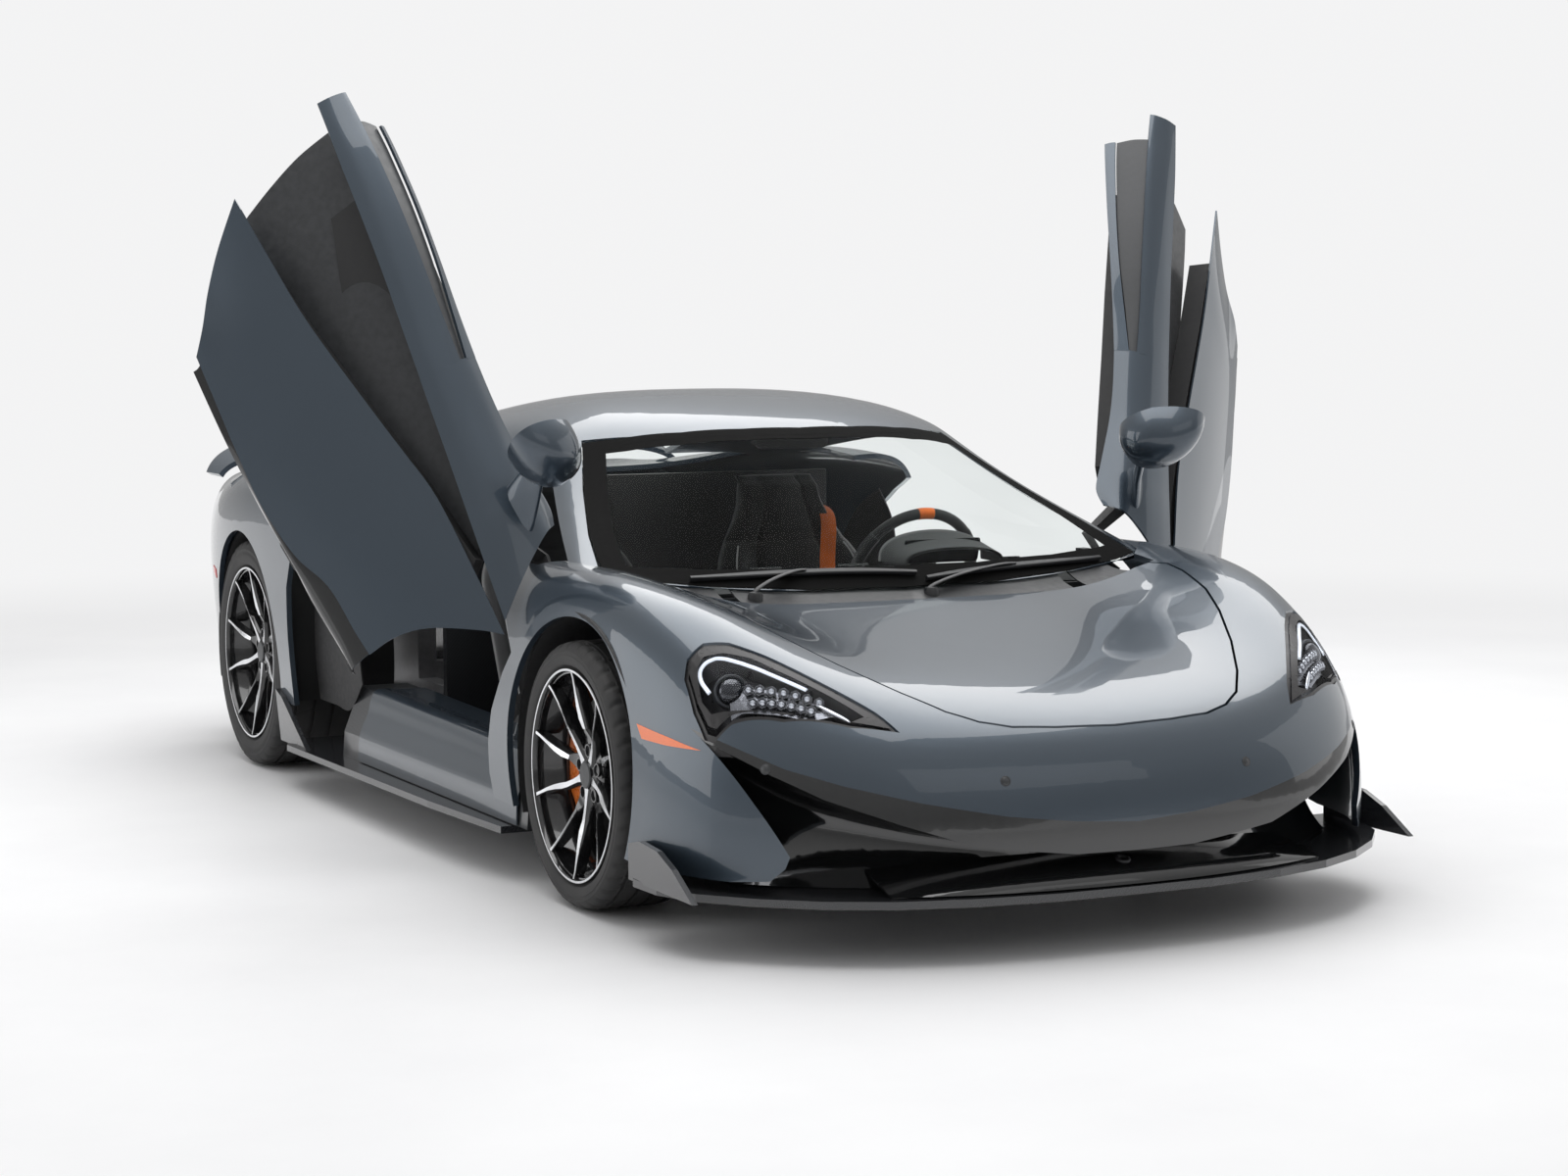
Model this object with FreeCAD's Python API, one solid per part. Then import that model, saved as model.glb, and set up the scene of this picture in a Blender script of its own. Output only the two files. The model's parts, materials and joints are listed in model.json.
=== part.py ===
import FreeCAD, Part
import math
import os

# Driving dimensions, millimetres
wheelbase = 2670.0
front_overhang = 1021.0
rear_overhang = 909.0
body_width = 1932.0
body_height = 1193.0
front_tyre_radius = 320.0
rear_tyre_radius = 354.0
front_tyre_width = 225.0
rear_tyre_width = 285.0
front_rim_radius = 256.0
rear_rim_radius = 269.0
front_face_x = 940.0
rear_face_x = 948.0
front_arch_gap = 58.0
rear_arch_gap = 30.0
panel_wall = 16.0
glass_wall = 6.0
panel_gap = 6.0
door_angle = 71.4
spoke_pairs = 5

# The car stands on z = 0 with its middle over the origin, nose to -y, left side to +x
front_axle_y = -(wheelbase + front_overhang + rear_overhang) / 2.0 + front_overhang
rear_axle_y = front_axle_y + wheelbase

# The body lines are drawn at these sizes and follow the driving dimensions
drawn_front_axle = -1242.0
drawn_rear_axle = 1428.0
drawn_front_overhang = 1021.0
drawn_rear_overhang = 909.0
drawn_width = 1932.0
drawn_height = 1193.0


def at(x, s, z):
    """Point of the body drawing: half width x, station s along the car, height z."""
    if s < drawn_front_axle:
        y = front_axle_y + (s - drawn_front_axle) * front_overhang / drawn_front_overhang
    elif s > drawn_rear_axle:
        y = rear_axle_y + (s - drawn_rear_axle) * rear_overhang / drawn_rear_overhang
    else:
        share = (s - drawn_front_axle) / (drawn_rear_axle - drawn_front_axle)
        y = front_axle_y + share * wheelbase
    return FreeCAD.Vector(x * body_width / drawn_width, y, z * body_height / drawn_height)


# General shapes

def knots_of(count, degree):
    inner = count - degree - 1
    knots = [float(i) for i in range(inner + 2)]
    mults = [degree + 1] + [1] * inner + [degree + 1]
    return knots, mults


def surface_of(poles):
    """Smooth surface whose control points are the given rows."""
    du = min(3, len(poles) - 1)
    dv = min(3, len(poles[0]) - 1)
    uk, um = knots_of(len(poles), du)
    vk, vm = knots_of(len(poles[0]), dv)
    surf = Part.BSplineSurface()
    surf.buildFromPolesMultsKnots(poles, um, vm, uk, vk, False, False, du, dv)
    return surf


def set_in(poles, depth):
    """The rows moved inwards by the depth, square to the surface."""
    rows = len(poles)
    cols = len(poles[0])
    moved = []
    for i in range(rows):
        line = []
        for j in range(cols):
            along = poles[min(i + 1, rows - 1)][j] - poles[max(i - 1, 0)][j]
            across = poles[i][min(j + 1, cols - 1)] - poles[i][max(j - 1, 0)]
            normal = along.cross(across)
            normal.normalize()
            line.append(poles[i][j] + normal * depth)
        moved.append(line)
    return moved


def border(poles, side):
    if side == "first":
        line = poles[0]
    elif side == "last":
        line = poles[-1]
    elif side == "left":
        line = [row[0] for row in poles]
    else:
        line = [row[-1] for row in poles]
    degree = min(3, len(line) - 1)
    knots, mults = knots_of(len(line), degree)
    curve = Part.BSplineCurve()
    curve.buildFromPolesMultsKnots(line, mults, knots, False, degree)
    return curve.toShape()


def shell_between(outer, inner):
    """Closed solid between two grids of control points of the same size."""
    faces = [surface_of(outer).toShape(), surface_of(inner).toShape()]
    for side in ("first", "last", "left", "right"):
        faces.append(Part.makeRuledSurface(border(outer, side), border(inner, side)))
    shell = Part.makeShell(faces)
    shell.sewShape()
    solid = Part.makeSolid(shell)
    if solid.Volume < 0:
        solid.reverse()
    return solid


def whole(rows):
    """Rows of the left half with their mirror image, as points of the car."""
    full = []
    for row in rows:
        left = [at(x, s, z) for x, s, z in row]
        right = [FreeCAD.Vector(-p.x, p.y, p.z) for p in left[:0:-1]]
        full.append(right + left)
    return full


def half(rows):
    return [[at(x, s, z) for x, s, z in row] for row in rows]


def skin(poles, wall):
    return shell_between(poles, set_in(poles, wall))


def patch_of(poles, u0, u1, v0, v1):
    """Control points of the part of a surface between whole numbers of its spans."""
    surf = surface_of(poles)
    surf.segment(u0, u1, v0, v1)
    return surf.getPoles()


def mirrored(shape):
    return shape.mirror(FreeCAD.Vector(0, 0, 0), FreeCAD.Vector(1, 0, 0))


def both(shape):
    return Part.makeCompound([shape, mirrored(shape)])


def prism(points, direction):
    wire = Part.makePolygon(points + [points[0]])
    return Part.Face(wire).extrude(direction)


def plan(points, low=0.0, high=1400.0):
    """Block over an outline seen from above, given as half width and station."""
    flat = [at(x, s, low) for x, s in points]
    return prism(flat, FreeCAD.Vector(0, 0, at(0, 0, high - low).z))


def side(points, near=0.0, far=1100.0):
    """Block over an outline seen from the left, given as station and height."""
    flat = [at(near, s, z) for s, z in points]
    return prism(flat, FreeCAD.Vector(at(far - near, 0, 0).x, 0, 0))


def front(points, first=-2400.0, last=-1500.0):
    """Block over an outline seen from ahead, given as half width and height."""
    flat = [at(x, first, z) for x, z in points]
    return prism(flat, FreeCAD.Vector(0, at(0, last, 0).y - at(0, first, 0).y, 0))


def box(x0, x1, s0, s1, z0, z1):
    low = at(x0, s0, z0)
    high = at(x1, s1, z1)
    return Part.makeBox(high.x - low.x, high.y - low.y, high.z - low.z, low)


def hull_loft(sections):
    """Solid through closed polygons, straight from one to the next."""
    wires = [Part.makePolygon(points + [points[0]]) for points in sections]
    return Part.makeLoft(wires, True, True)


def tube(start, end, radius):
    way = end - start
    return Part.makeCylinder(radius, way.Length, start, way)


def fused(shapes):
    result = shapes[0].multiFuse(shapes[1:])
    return result.removeSplitter()


def solids_of(shape, least=2000.0):
    """The solids of a shape without its slivers."""
    keep = [s for s in shape.Solids if s.Volume > least]
    if len(keep) == 1:
        return keep[0]
    return Part.makeCompound(keep)


os.makedirs("parts", exist_ok=True)


def save(name, shape):
    shape.exportStep("parts/" + name + ".step")


# Body lines, each row from the centre line out and down the side

body_rows = [
    [(0, -2240, 150), (150, -2239, 150), (300, -2227, 150), (430, -2200, 150), (540, -2165, 150), (640, -2115, 150),
     (720, -2060, 150), (780, -2005, 150), (825, -1950, 150), (860, -1900, 150), (890, -1840, 150), (910, -1780, 150)],
    [(0, -2262, 225), (150, -2261, 226), (300, -2248, 230), (435, -2220, 235), (550, -2182, 240), (655, -2125, 243),
     (740, -2062, 243), (805, -1995, 240), (852, -1930, 232), (885, -1870, 217), (908, -1800, 192), (925, -1725, 160)],
    [(0, -2262, 310), (150, -2261, 312), (300, -2246, 318), (440, -2215, 328), (560, -2170, 340), (672, -2105, 350),
     (765, -2030, 355), (832, -1950, 350), (878, -1872, 328), (906, -1800, 292), (925, -1730, 240), (937, -1665, 168)],
    [(0, -2240, 412), (150, -2238, 414), (300, -2220, 420), (442, -2185, 432), (565, -2135, 448), (680, -2068, 465),
     (772, -1985, 472), (842, -1892, 462), (888, -1810, 432), (917, -1740, 376), (935, -1675, 292), (944, -1630, 174)],
    [(0, -2180, 500), (150, -2177, 502), (300, -2157, 510), (437, -2117, 523), (560, -2060, 545), (678, -1985, 572),
     (772, -1895, 585), (845, -1805, 570), (893, -1730, 517), (922, -1675, 434), (940, -1625, 322), (948, -1590, 178)],
    [(0, -2010, 560), (150, -2007, 562), (300, -1988, 570), (435, -1955, 582), (560, -1905, 610), (680, -1840, 650),
     (775, -1768, 664), (848, -1700, 643), (897, -1650, 573), (927, -1612, 468), (945, -1585, 342), (952, -1560, 182)],
    [(0, -1800, 605), (150, -1799, 606), (300, -1790, 612), (435, -1768, 624), (560, -1735, 657), (685, -1690, 705),
     (782, -1648, 718), (855, -1610, 690), (905, -1580, 610), (933, -1560, 494), (948, -1550, 352), (954, -1540, 186)],
    [(0, -1540, 650), (150, -1540, 651), (300, -1538, 654), (438, -1532, 661), (565, -1522, 697), (695, -1508, 752),
     (797, -1495, 768), (872, -1485, 736), (920, -1478, 648), (942, -1472, 522), (952, -1468, 370), (955, -1465, 190)],
    [(0, -1240, 704), (150, -1240, 704), (300, -1240, 703), (445, -1240, 703), (588, -1240, 728), (722, -1240, 785),
     (830, -1240, 803), (905, -1240, 768), (943, -1240, 676), (955, -1240, 542), (960, -1240, 380), (956, -1240, 195)],
    [(0, -985, 752), (150, -985, 752), (300, -985, 751), (455, -985, 750), (610, -985, 762), (745, -985, 800),
     (845, -985, 803), (912, -985, 755), (943, -985, 668), (955, -985, 540), (958, -985, 390), (946, -985, 195)],
    [(0, -640, 790), (150, -640, 790), (310, -640, 790), (470, -640, 790), (630, -640, 792), (755, -640, 803),
     (840, -640, 793), (902, -640, 735), (932, -640, 655), (946, -640, 540), (955, -640, 390), (942, -640, 200)],
    [(0, -200, 850), (160, -200, 850), (320, -200, 850), (480, -200, 850), (635, -200, 852), (765, -200, 862),
     (855, -200, 852), (905, -200, 800), (928, -200, 715), (943, -200, 590), (964, -200, 400), (945, -200, 212)],
    [(0, 260, 930), (160, 260, 930), (320, 260, 930), (480, 260, 932), (640, 260, 938), (780, 260, 958),
     (872, 260, 952), (922, 260, 900), (945, 260, 790), (957, 260, 620), (966, 260, 430), (948, 260, 225)],
    [(0, 780, 960), (165, 780, 960), (330, 780, 962), (480, 780, 968), (620, 780, 978), (755, 780, 998),
     (868, 780, 990), (938, 780, 935), (968, 780, 820), (975, 780, 640), (972, 780, 440), (952, 780, 240)],
    [(0, 1330, 905), (170, 1330, 906), (340, 1330, 910), (500, 1330, 922), (640, 1330, 945), (775, 1330, 972),
     (885, 1330, 962), (955, 1330, 900), (982, 1330, 785), (982, 1330, 625), (972, 1330, 430), (952, 1330, 250)],
    [(0, 1800, 872), (170, 1800, 873), (340, 1800, 877), (500, 1800, 887), (635, 1800, 905), (760, 1800, 922),
     (860, 1800, 905), (925, 1800, 840), (953, 1800, 735), (955, 1800, 600), (945, 1800, 430), (925, 1800, 262)],
    [(0, 2080, 868), (170, 2078, 868), (335, 2070, 870), (485, 2060, 876), (615, 2050, 886), (732, 2040, 893),
     (822, 2030, 870), (878, 2020, 800), (900, 2010, 705), (902, 2005, 590), (892, 2000, 440), (875, 2000, 280)],
    [(0, 2270, 880), (165, 2268, 880), (325, 2260, 881), (470, 2245, 885), (595, 2230, 890), (705, 2210, 893),
     (790, 2190, 866), (840, 2170, 793), (860, 2155, 703), (862, 2150, 590), (853, 2145, 450), (838, 2140, 300)],
]

# Greenhouse lines, each row from the centre line out over the roof pillar
roof_rows = [
    [(0, -1190, 722), (250, -1178, 724), (500, -1135, 737), (680, -1085, 757), (778, -1043, 772),
     (806, -1020, 774), (826, -1000, 762)],
    [(0, -1000, 868), (220, -990, 868), (440, -940, 868), (610, -870, 862), (712, -820, 856),
     (745, -800, 852), (766, -785, 834)],
    [(0, -790, 1000), (190, -778, 998), (380, -730, 988), (530, -650, 968), (632, -590, 950),
     (668, -565, 943), (692, -548, 922)],
    [(0, -565, 1118), (160, -555, 1116), (320, -515, 1107), (440, -455, 1092), (545, -368, 1072),
     (592, -345, 1064), (622, -330, 1038)],
    [(0, -380, 1160), (165, -375, 1158), (330, -350, 1148), (455, -315, 1130), (560, -270, 1102),
     (606, -250, 1086), (634, -235, 1054)],
    [(0, -100, 1196), (170, -100, 1195), (335, -100, 1184), (465, -95, 1162), (575, -90, 1128),
     (622, -88, 1100), (648, -85, 1064)],
    [(0, 250, 1196), (170, 250, 1195), (335, 250, 1183), (465, 250, 1158), (582, 250, 1120),
     (640, 250, 1088), (675, 250, 1050)],
    [(0, 600, 1150), (170, 600, 1150), (330, 600, 1142), (470, 610, 1118), (600, 620, 1080),
     (672, 625, 1048), (715, 630, 1008)],
    [(0, 950, 1060), (170, 950, 1062), (330, 950, 1062), (480, 960, 1052), (620, 970, 1030),
     (705, 975, 1006), (760, 980, 972)],
    [(0, 1300, 955), (170, 1300, 958), (330, 1300, 962), (490, 1300, 968), (650, 1300, 966),
     (740, 1300, 960), (790, 1300, 940)],
]

# Outlines of the openings and shut lines
bonnet_line = [(0, -2168), (150, -2161), (256, -2148), (325, -2122), (385, -2076), (449, -1985), (530, -1840),
               (603, -1680), (650, -1550), (686, -1390), (697, -1300), (680, -1236)]
cowl_line = [(640, -1226), (500, -1236), (250, -1250), (0, -1254)]
screen_line = [(0, -1186), (250, -1174), (500, -1131), (680, -1081), (770, -1040), (712, -820), (632, -590),
               (543, -367), (440, -455), (320, -515), (160, -555), (0, -570)]
lamp_line = [(512, -2104), (543, -2046), (628, -1919), (697, -1815), (752, -1742), (800, -1706), (838, -1704),
             (856, -1728), (862, -1790), (858, -1840), (846, -1866), (814, -1889), (730, -1976), (611, -2058)]
seam_line = [(0, 290), (152, 301), (318, 321), (497, 355), (647, 392), (748, 425), (805, 456), (872, 496)]
band_line = [(0, 226), (151, 228), (378, 255), (543, 309), (687, 363), (771, 410), (858, 470)]
skin_line = [(-762, 140), (-718, 262), (-721, 339), (-752, 423), (-826, 525), (-876, 577), (-711, 597), (-491, 620),
             (-242, 603), (56, 585), (437, 601), (325, 438), (223, 353), (162, 261)]
blade_panel_line = [(-846, 592), (-601, 649), (-244, 731), (113, 818), (519, 902), (492, 1004), (122, 921),
                    (-226, 840), (-572, 782), (-698, 760)]


def mirror_line(points):
    return points + [(-x, v) for x, v in points[::-1] if x > 0.5]


def region_inside(points, gap):
    """Outline moved inwards by the gap, corner by corner."""
    moved = []
    count = len(points)
    area = sum(points[i][0] * points[(i + 1) % count][1] - points[(i + 1) % count][0] * points[i][1]
               for i in range(count))
    turn = 1.0 if area > 0 else -1.0
    for i in range(count):
        a = points[i - 1]
        b = points[i]
        c = points[(i + 1) % count]
        n1 = ((a[1] - b[1]) * turn, (b[0] - a[0]) * turn)
        n2 = ((b[1] - c[1]) * turn, (c[0] - b[0]) * turn)
        l1 = math.hypot(*n1)
        l2 = math.hypot(*n2)
        n1 = (n1[0] / l1, n1[1] / l1)
        n2 = (n2[0] / l2, n2[1] / l2)
        share = max(0.35, 1.0 + n1[0] * n2[0] + n1[1] * n2[1])
        moved.append((b[0] + gap * (n1[0] + n2[0]) / share, b[1] + gap * (n1[1] + n2[1]) / share))
    return moved


def axle_bar(axle_y, height, radius, near=0.0, far=1100.0):
    start = FreeCAD.Vector(near, axle_y, height)
    return Part.makeCylinder(radius, far - near, start, FreeCAD.Vector(1, 0, 0))


front_arch = axle_bar(front_axle_y, front_tyre_radius, front_tyre_radius + front_arch_gap)
rear_arch = axle_bar(rear_axle_y, rear_tyre_radius, rear_tyre_radius + rear_arch_gap)

body_poles = whole(body_rows)
body_skin = skin(body_poles, panel_wall)
left_side = Part.makeBox(1200, 6000, 1500, FreeCAD.Vector(0, -3000, 0))
body_half = body_skin.common(left_side)
roof_poles = whole(roof_rows)

bonnet_outline = mirror_line(bonnet_line + cowl_line)
bonnet_cut = plan(bonnet_outline)
lamp_cut = plan(lamp_line, 300, 900)

# Nose: painted upper panel, black band under its seam, and the painted corners outside the intakes
nose_zone = plan([(0, -2450), (1000, -2450), (1000, -1840), (862, -1840), (543, -2046), (449, -1985), (0, -1985)])
above_seam = front(seam_line + [(872, 900), (0, 900)])
band_zone = front(band_line + [(872, 496)] + seam_line[::-1][1:], -2400, -1790)
corner_front = front([(862, 476), (805, 351), (749, 236), (756, 210), (780, 180), (840, 172), (1100, 172),
                      (1100, 640), (872, 640)])
corner_side = side([(-2400, 487), (-1838, 487), (-1773, 447), (-1600, 355), (-1450, 355), (-1450, 100), (-2400, 100)])

nose_half = body_half.common(nose_zone).common(above_seam).cut(lamp_cut).cut(bonnet_cut)
save("nose_panel", solids_of(nose_half.fuse(mirrored(nose_half)).removeSplitter()))
corner = solids_of(body_half.common(corner_front).common(corner_side).cut(front_arch).cut(lamp_cut))
save("bumper_corners", both(corner))

splitter_low = 128
splitter_top = 146

# Black duct behind the front intakes, joined to the band, with the low lip at its middle
duct_rows = [
    [(0, -2170, 150), (250, -2150, 150), (480, -2080, 150), (680, -1960, 150), (800, -1840, 150)],
    [(0, -2100, 190), (250, -2080, 200), (470, -1980, 215), (640, -1840, 230), (770, -1720, 240)],
    [(0, -2120, 240), (250, -2090, 280), (470, -1980, 320), (640, -1840, 370), (780, -1720, 410)],
    [(0, -2235, 262), (250, -2215, 285), (480, -2130, 335), (680, -1990, 400), (830, -1830, 470)],
]
duct = skin(whole(duct_rows), 12)
lip_rows = [
    [(0, -2258, 150), (240, -2246, 150), (430, -2204, 150), (560, -2156, 150)],
    [(0, -2250, 205), (240, -2238, 205), (420, -2190, 190), (560, -2135, 160)],
    [(0, -2080, 214), (240, -2065, 214), (400, -2020, 204), (540, -1960, 190)],
]
lip = skin(whole(lip_rows), 8)
band_half = body_half.common(band_zone).cut(lamp_cut)
band = band_half.fuse(mirrored(band_half)).removeSplitter()
below_duct = box(-1100, 1100, -2500, -1500, 0, splitter_top)
lamp_space = plan(lamp_line, 440, 900)
save("nose_duct", solids_of(fused([band, duct, lip]).cut(below_duct).cut(both(lamp_space))))

# Splitter with its end plates
splitter_outline = [(0, -2263), (200, -2260), (400, -2232), (560, -2185), (700, -2110), (820, -2010), (910, -1900),
                    (955, -1790), (960, -1670), (950, -1640), (780, -1640), (700, -1700), (0, -1700)]
splitter_plate = plan(mirror_line(splitter_outline), splitter_low, splitter_top)
end_plate_points = [(-1990, 140), (-1640, 140), (-1640, 222), (-1700, 235), (-1800, 228), (-1880, 200)]
end_plate = side(end_plate_points, 944, 958)
save("front_splitter", solids_of(fused([splitter_plate, end_plate, mirrored(end_plate)])))

# Fenders
behind_fender = side([(-769, 0), (-769, 134), (-724, 262), (-727, 339), (-758, 423), (-832, 525), (-887, 580),
                      (-740, 766), (-740, 1300), (2800, 1300), (2800, 0)], -10)
cowl_zone = plan([(0, -1254), (250, -1250), (500, -1236), (640, -1228), (692, -1240), (702, -1130), (788, -1030),
                  (790, -870), (846, -815), (846, -700), (0, -700)])
fender = body_half.cut(bonnet_cut).cut(lamp_cut).cut(nose_zone).cut(band_zone).cut(corner_side).cut(behind_fender)
roof_skin = skin(roof_poles, panel_wall)
fender = solids_of(fender.cut(cowl_zone).cut(front_arch).cut(roof_skin))
save("fender_left", fender)
save("fender_right", mirrored(fender))

# Head lamps: a housing in the panel opening and a clear cover just inside the panels
lamp_depth = 62
lamp_poles = half(body_rows)
lamp_cover = skin(set_in(lamp_poles, 1.0), 4).common(plan(region_inside(lamp_line, 9), 440, 900))
lamp_layer = skin(set_in(lamp_poles, 5.0), lamp_depth).common(lamp_space)
lamp_bowl = skin(set_in(lamp_poles, 4.0), lamp_depth - 7).common(plan(region_inside(lamp_line, 9), 400, 900))
lamp = solids_of(lamp_layer.cut(lamp_bowl))
save("headlamps", both(lamp))
save("headlamp_covers", both(solids_of(lamp_cover)))

# Bonnet, set in from its shut line, on two hinge arms under its rear edge
bonnet_axis = at(0, -1165, 672)
bonnet_pin_radius = 8.0
pin_clearance = 0.3
bonnet_arm_x = 480.0
bonnet = body_skin.common(plan(region_inside(bonnet_outline, panel_gap)))


def bonnet_arm(x):
    pin = FreeCAD.Vector(x, bonnet_axis.y, bonnet_axis.z)
    along = FreeCAD.Vector(1, 0, 0)
    points = [pin + FreeCAD.Vector(0, 14, -14), pin + FreeCAD.Vector(0, 14, 14),
              pin + FreeCAD.Vector(0, -110, 26), pin + FreeCAD.Vector(0, -200, 16),
              pin + FreeCAD.Vector(0, -200, -6), pin + FreeCAD.Vector(0, -110, -6), pin + FreeCAD.Vector(0, -14, -14)]
    arm = prism(points, along * 12)
    return arm.cut(Part.makeCylinder(bonnet_pin_radius + pin_clearance, 40, pin - along * 10, along))


bonnet = solids_of(fused([bonnet, bonnet_arm(bonnet_arm_x), bonnet_arm(-bonnet_arm_x - 12)]))
save("bonnet", bonnet)

# Greenhouse
glass_skin = skin(roof_poles, glass_wall)
screen_zone = plan(mirror_line(screen_line))
save("windscreen", solids_of(glass_skin.common(screen_zone)))
rear_glass_zone = plan(mirror_line([(0, 520), (400, 520), (430, 620), (440, 900), (0, 900)]))
save("rear_window", solids_of(glass_skin.common(rear_glass_zone)))
deck_opening = plan(mirror_line([(0, 900), (430, 900), (430, 1400), (0, 1400)]))
roof = solids_of(roof_skin.cut(screen_zone).cut(rear_glass_zone).cut(deck_opening))
save("roof_panel", roof)

# Quarters
quarter_side = side([(525, 893), (650, 850), (780, 790), (870, 700), (915, 600), (925, 450), (925, 100),
                     (1950, 100), (1950, 700), (2600, 700), (2600, 1300), (498, 1300)])
quarter_inner = plan([(-10, 400), (722, 400), (730, 640), (774, 980), (800, 1310), (640, 1320), (640, 2600),
                      (-10, 2600)])
quarter = solids_of(body_half.common(quarter_side).cut(quarter_inner).cut(rear_arch))
save("quarter_left", quarter)
save("quarter_right", mirrored(quarter))

# Rear deck, bumper and tail
deck_zone = plan([(-640, 1320), (640, 1320), (640, 2600), (-640, 2600)])
exhaust_hole = plan([(-150, 1500), (150, 1500), (150, 1680), (-150, 1680)])
save("rear_deck", solids_of(body_skin.common(deck_zone).cut(exhaust_hole)))
bumper_zone = side([(1950, 100), (2600, 100), (2600, 700), (1950, 700)])
rear_corner = solids_of(body_half.common(bumper_zone).cut(rear_arch))
fascia_rows = [
    [(0, 2225, 900), (200, 2220, 900), (420, 2205, 900), (640, 2170, 900), (790, 2130, 900), (900, 2090, 900)],
    [(0, 2190, 760), (200, 2186, 760), (420, 2170, 760), (650, 2130, 755), (780, 2080, 750), (900, 2040, 750)],
    [(0, 2190, 560), (200, 2186, 560), (420, 2170, 560), (650, 2130, 555), (780, 2070, 550), (900, 2030, 550)],
    [(0, 2200, 330), (200, 2196, 330), (420, 2180, 330), (650, 2140, 330), (780, 2080, 330), (900, 2040, 330)],
]
tail_lamp = box(430, 760, 2150, 2214, 790, 806)
fascia = skin(whole(fascia_rows), -14).cut(body_skin).cut(both(tail_lamp))
fascia = max(fascia.Solids, key=lambda piece: piece.Volume)
tail_lamp = tail_lamp.common(box(0, 900, 2110, 2214, 700, 900)).cut(body_skin)
plate_bracket = box(-260, 260, 2178, 2206, 440, 560)
plate_hole_gap = 210.0
tow_foot = FreeCAD.Vector(540, at(0, 2120, 0).y, at(0, 0, 420).z)
tow_boss = Part.makeCylinder(20, 60, tow_foot, FreeCAD.Vector(0, 1, 0))
tow_thread = Part.makeCylinder(8, 40, tow_foot + FreeCAD.Vector(0, 20, 0), FreeCAD.Vector(0, 1, 0))
hole_ways = [Part.makeCylinder(3.0, 80, FreeCAD.Vector(x, at(0, 2150, 0).y, at(0, 0, 500).z),
                               FreeCAD.Vector(0, 1, 0)) for x in (-plate_hole_gap / 2.0, plate_hole_gap / 2.0)]
fascia = fused([fascia, plate_bracket, tow_boss]).cut(tow_thread)
for way in hole_ways:
    fascia = fascia.cut(way)
fascia = max(fascia.Solids, key=lambda piece: piece.Volume)
save("rear_bumper", Part.makeCompound([rear_corner, mirrored(rear_corner), fascia]))

wing_rows = [
    [(0, 2150, 962), (300, 2150, 962), (600, 2140, 955), (800, 2110, 935), (840, 2105, 880)],
    [(0, 2210, 985), (300, 2210, 985), (600, 2195, 978), (810, 2160, 952), (850, 2140, 882)],
    [(0, 2285, 1010), (300, 2282, 1010), (600, 2260, 1000), (820, 2220, 968), (860, 2190, 884)],
]
wing = skin(whole(wing_rows), 20)
wing_post = side([(2130, 850), (2240, 850), (2250, 990), (2160, 962)], 430, 444)
wing = fused([wing, wing_post, mirrored(wing_post)]).cut(body_skin)
save("rear_wing", max(wing.Solids, key=lambda piece: piece.Volume))

diffuser_plate = hull_loft([[at(-620, 1821, 130), at(620, 1821, 130), at(620, 1821, 142), at(-620, 1821, 142)],
                            [at(-620, 1840, 130), at(620, 1840, 130), at(620, 1840, 142), at(-620, 1840, 142)],
                            [at(-700, 2337, 318), at(700, 2337, 318), at(700, 2337, 330), at(-700, 2337, 330)]])
fins = [side([(1860, 131), (2290, 160), (2300, 316), (1860, 140)], x, x + 10) for x in (-520, -320, -110, 100, 310, 510)]
save("rear_diffuser", solids_of(fused([diffuser_plate] + fins)))
save("tail_lamps", both(solids_of(tail_lamp)))

pipes = []
for x in (-75, 75):
    low = at(x, 1520, 760)
    high = at(x, 1620, 905)
    pipes.append(tube(low, high, 62).cut(tube(low, high, 56)))
pipes.append(box(-140, 140, 1440, 1560, 640, 790))
for x in (-60, 60):
    pipes.append(tube(at(x, 1250, 668), at(x, 1445, 668), 26))
save("exhaust", solids_of(fused(pipes)))

# Structure under the panels
floor_low = 118
floor_top = 130
front_wheel_space = axle_bar(front_axle_y, front_tyre_radius, front_tyre_radius + front_arch_gap + 14, 530)
rear_wheel_space = axle_bar(rear_axle_y, rear_tyre_radius, rear_tyre_radius + rear_arch_gap + 14, 590)
wheel_space = both(front_wheel_space.fuse(rear_wheel_space))
save("floor_pan", box(-700, 700, -1700, 1840, floor_low, floor_top).cut(wheel_space))
tub_floor = box(-760, 760, -900, 620, floor_top, 160)
sill = hull_loft([[at(700, -860, 130), at(900, -860, 130), at(895, -860, 200), at(845, -860, 300), at(700, -860, 300)],
                  [at(700, 620, 130), at(900, 620, 130), at(895, 620, 200), at(845, 620, 330), at(700, 620, 330)]])
front_wall = box(-760, 760, -930, -900, floor_top, 690)
rear_wall = box(-620, 620, 500, 530, floor_top, 930)
rear_foot = box(-460, 460, 530, 620, 160, 260)
post = hull_loft([[at(700, -900, 300), at(850, -900, 300), at(850, -800, 300), at(700, -800, 300)],
                  [at(690, -930, 690), at(740, -930, 690), at(740, -840, 690), at(690, -840, 690)]])
bonnet_bracket = box(492.5, 520, -1190, -900, 630, 688)
bonnet_pin = Part.makeCylinder(bonnet_pin_radius, 45, FreeCAD.Vector(475, bonnet_axis.y, bonnet_axis.z),
                               FreeCAD.Vector(1, 0, 0))
hinge_point = at(788, -835, 721)
hinge_axis = FreeCAD.Vector(0.672, -0.419, -0.610)
hinge_axis.normalize()
hinge_pin_radius = 12.0
door_pin = Part.makeCylinder(hinge_pin_radius, 135, hinge_point - hinge_axis * 65, hinge_axis)
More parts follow.
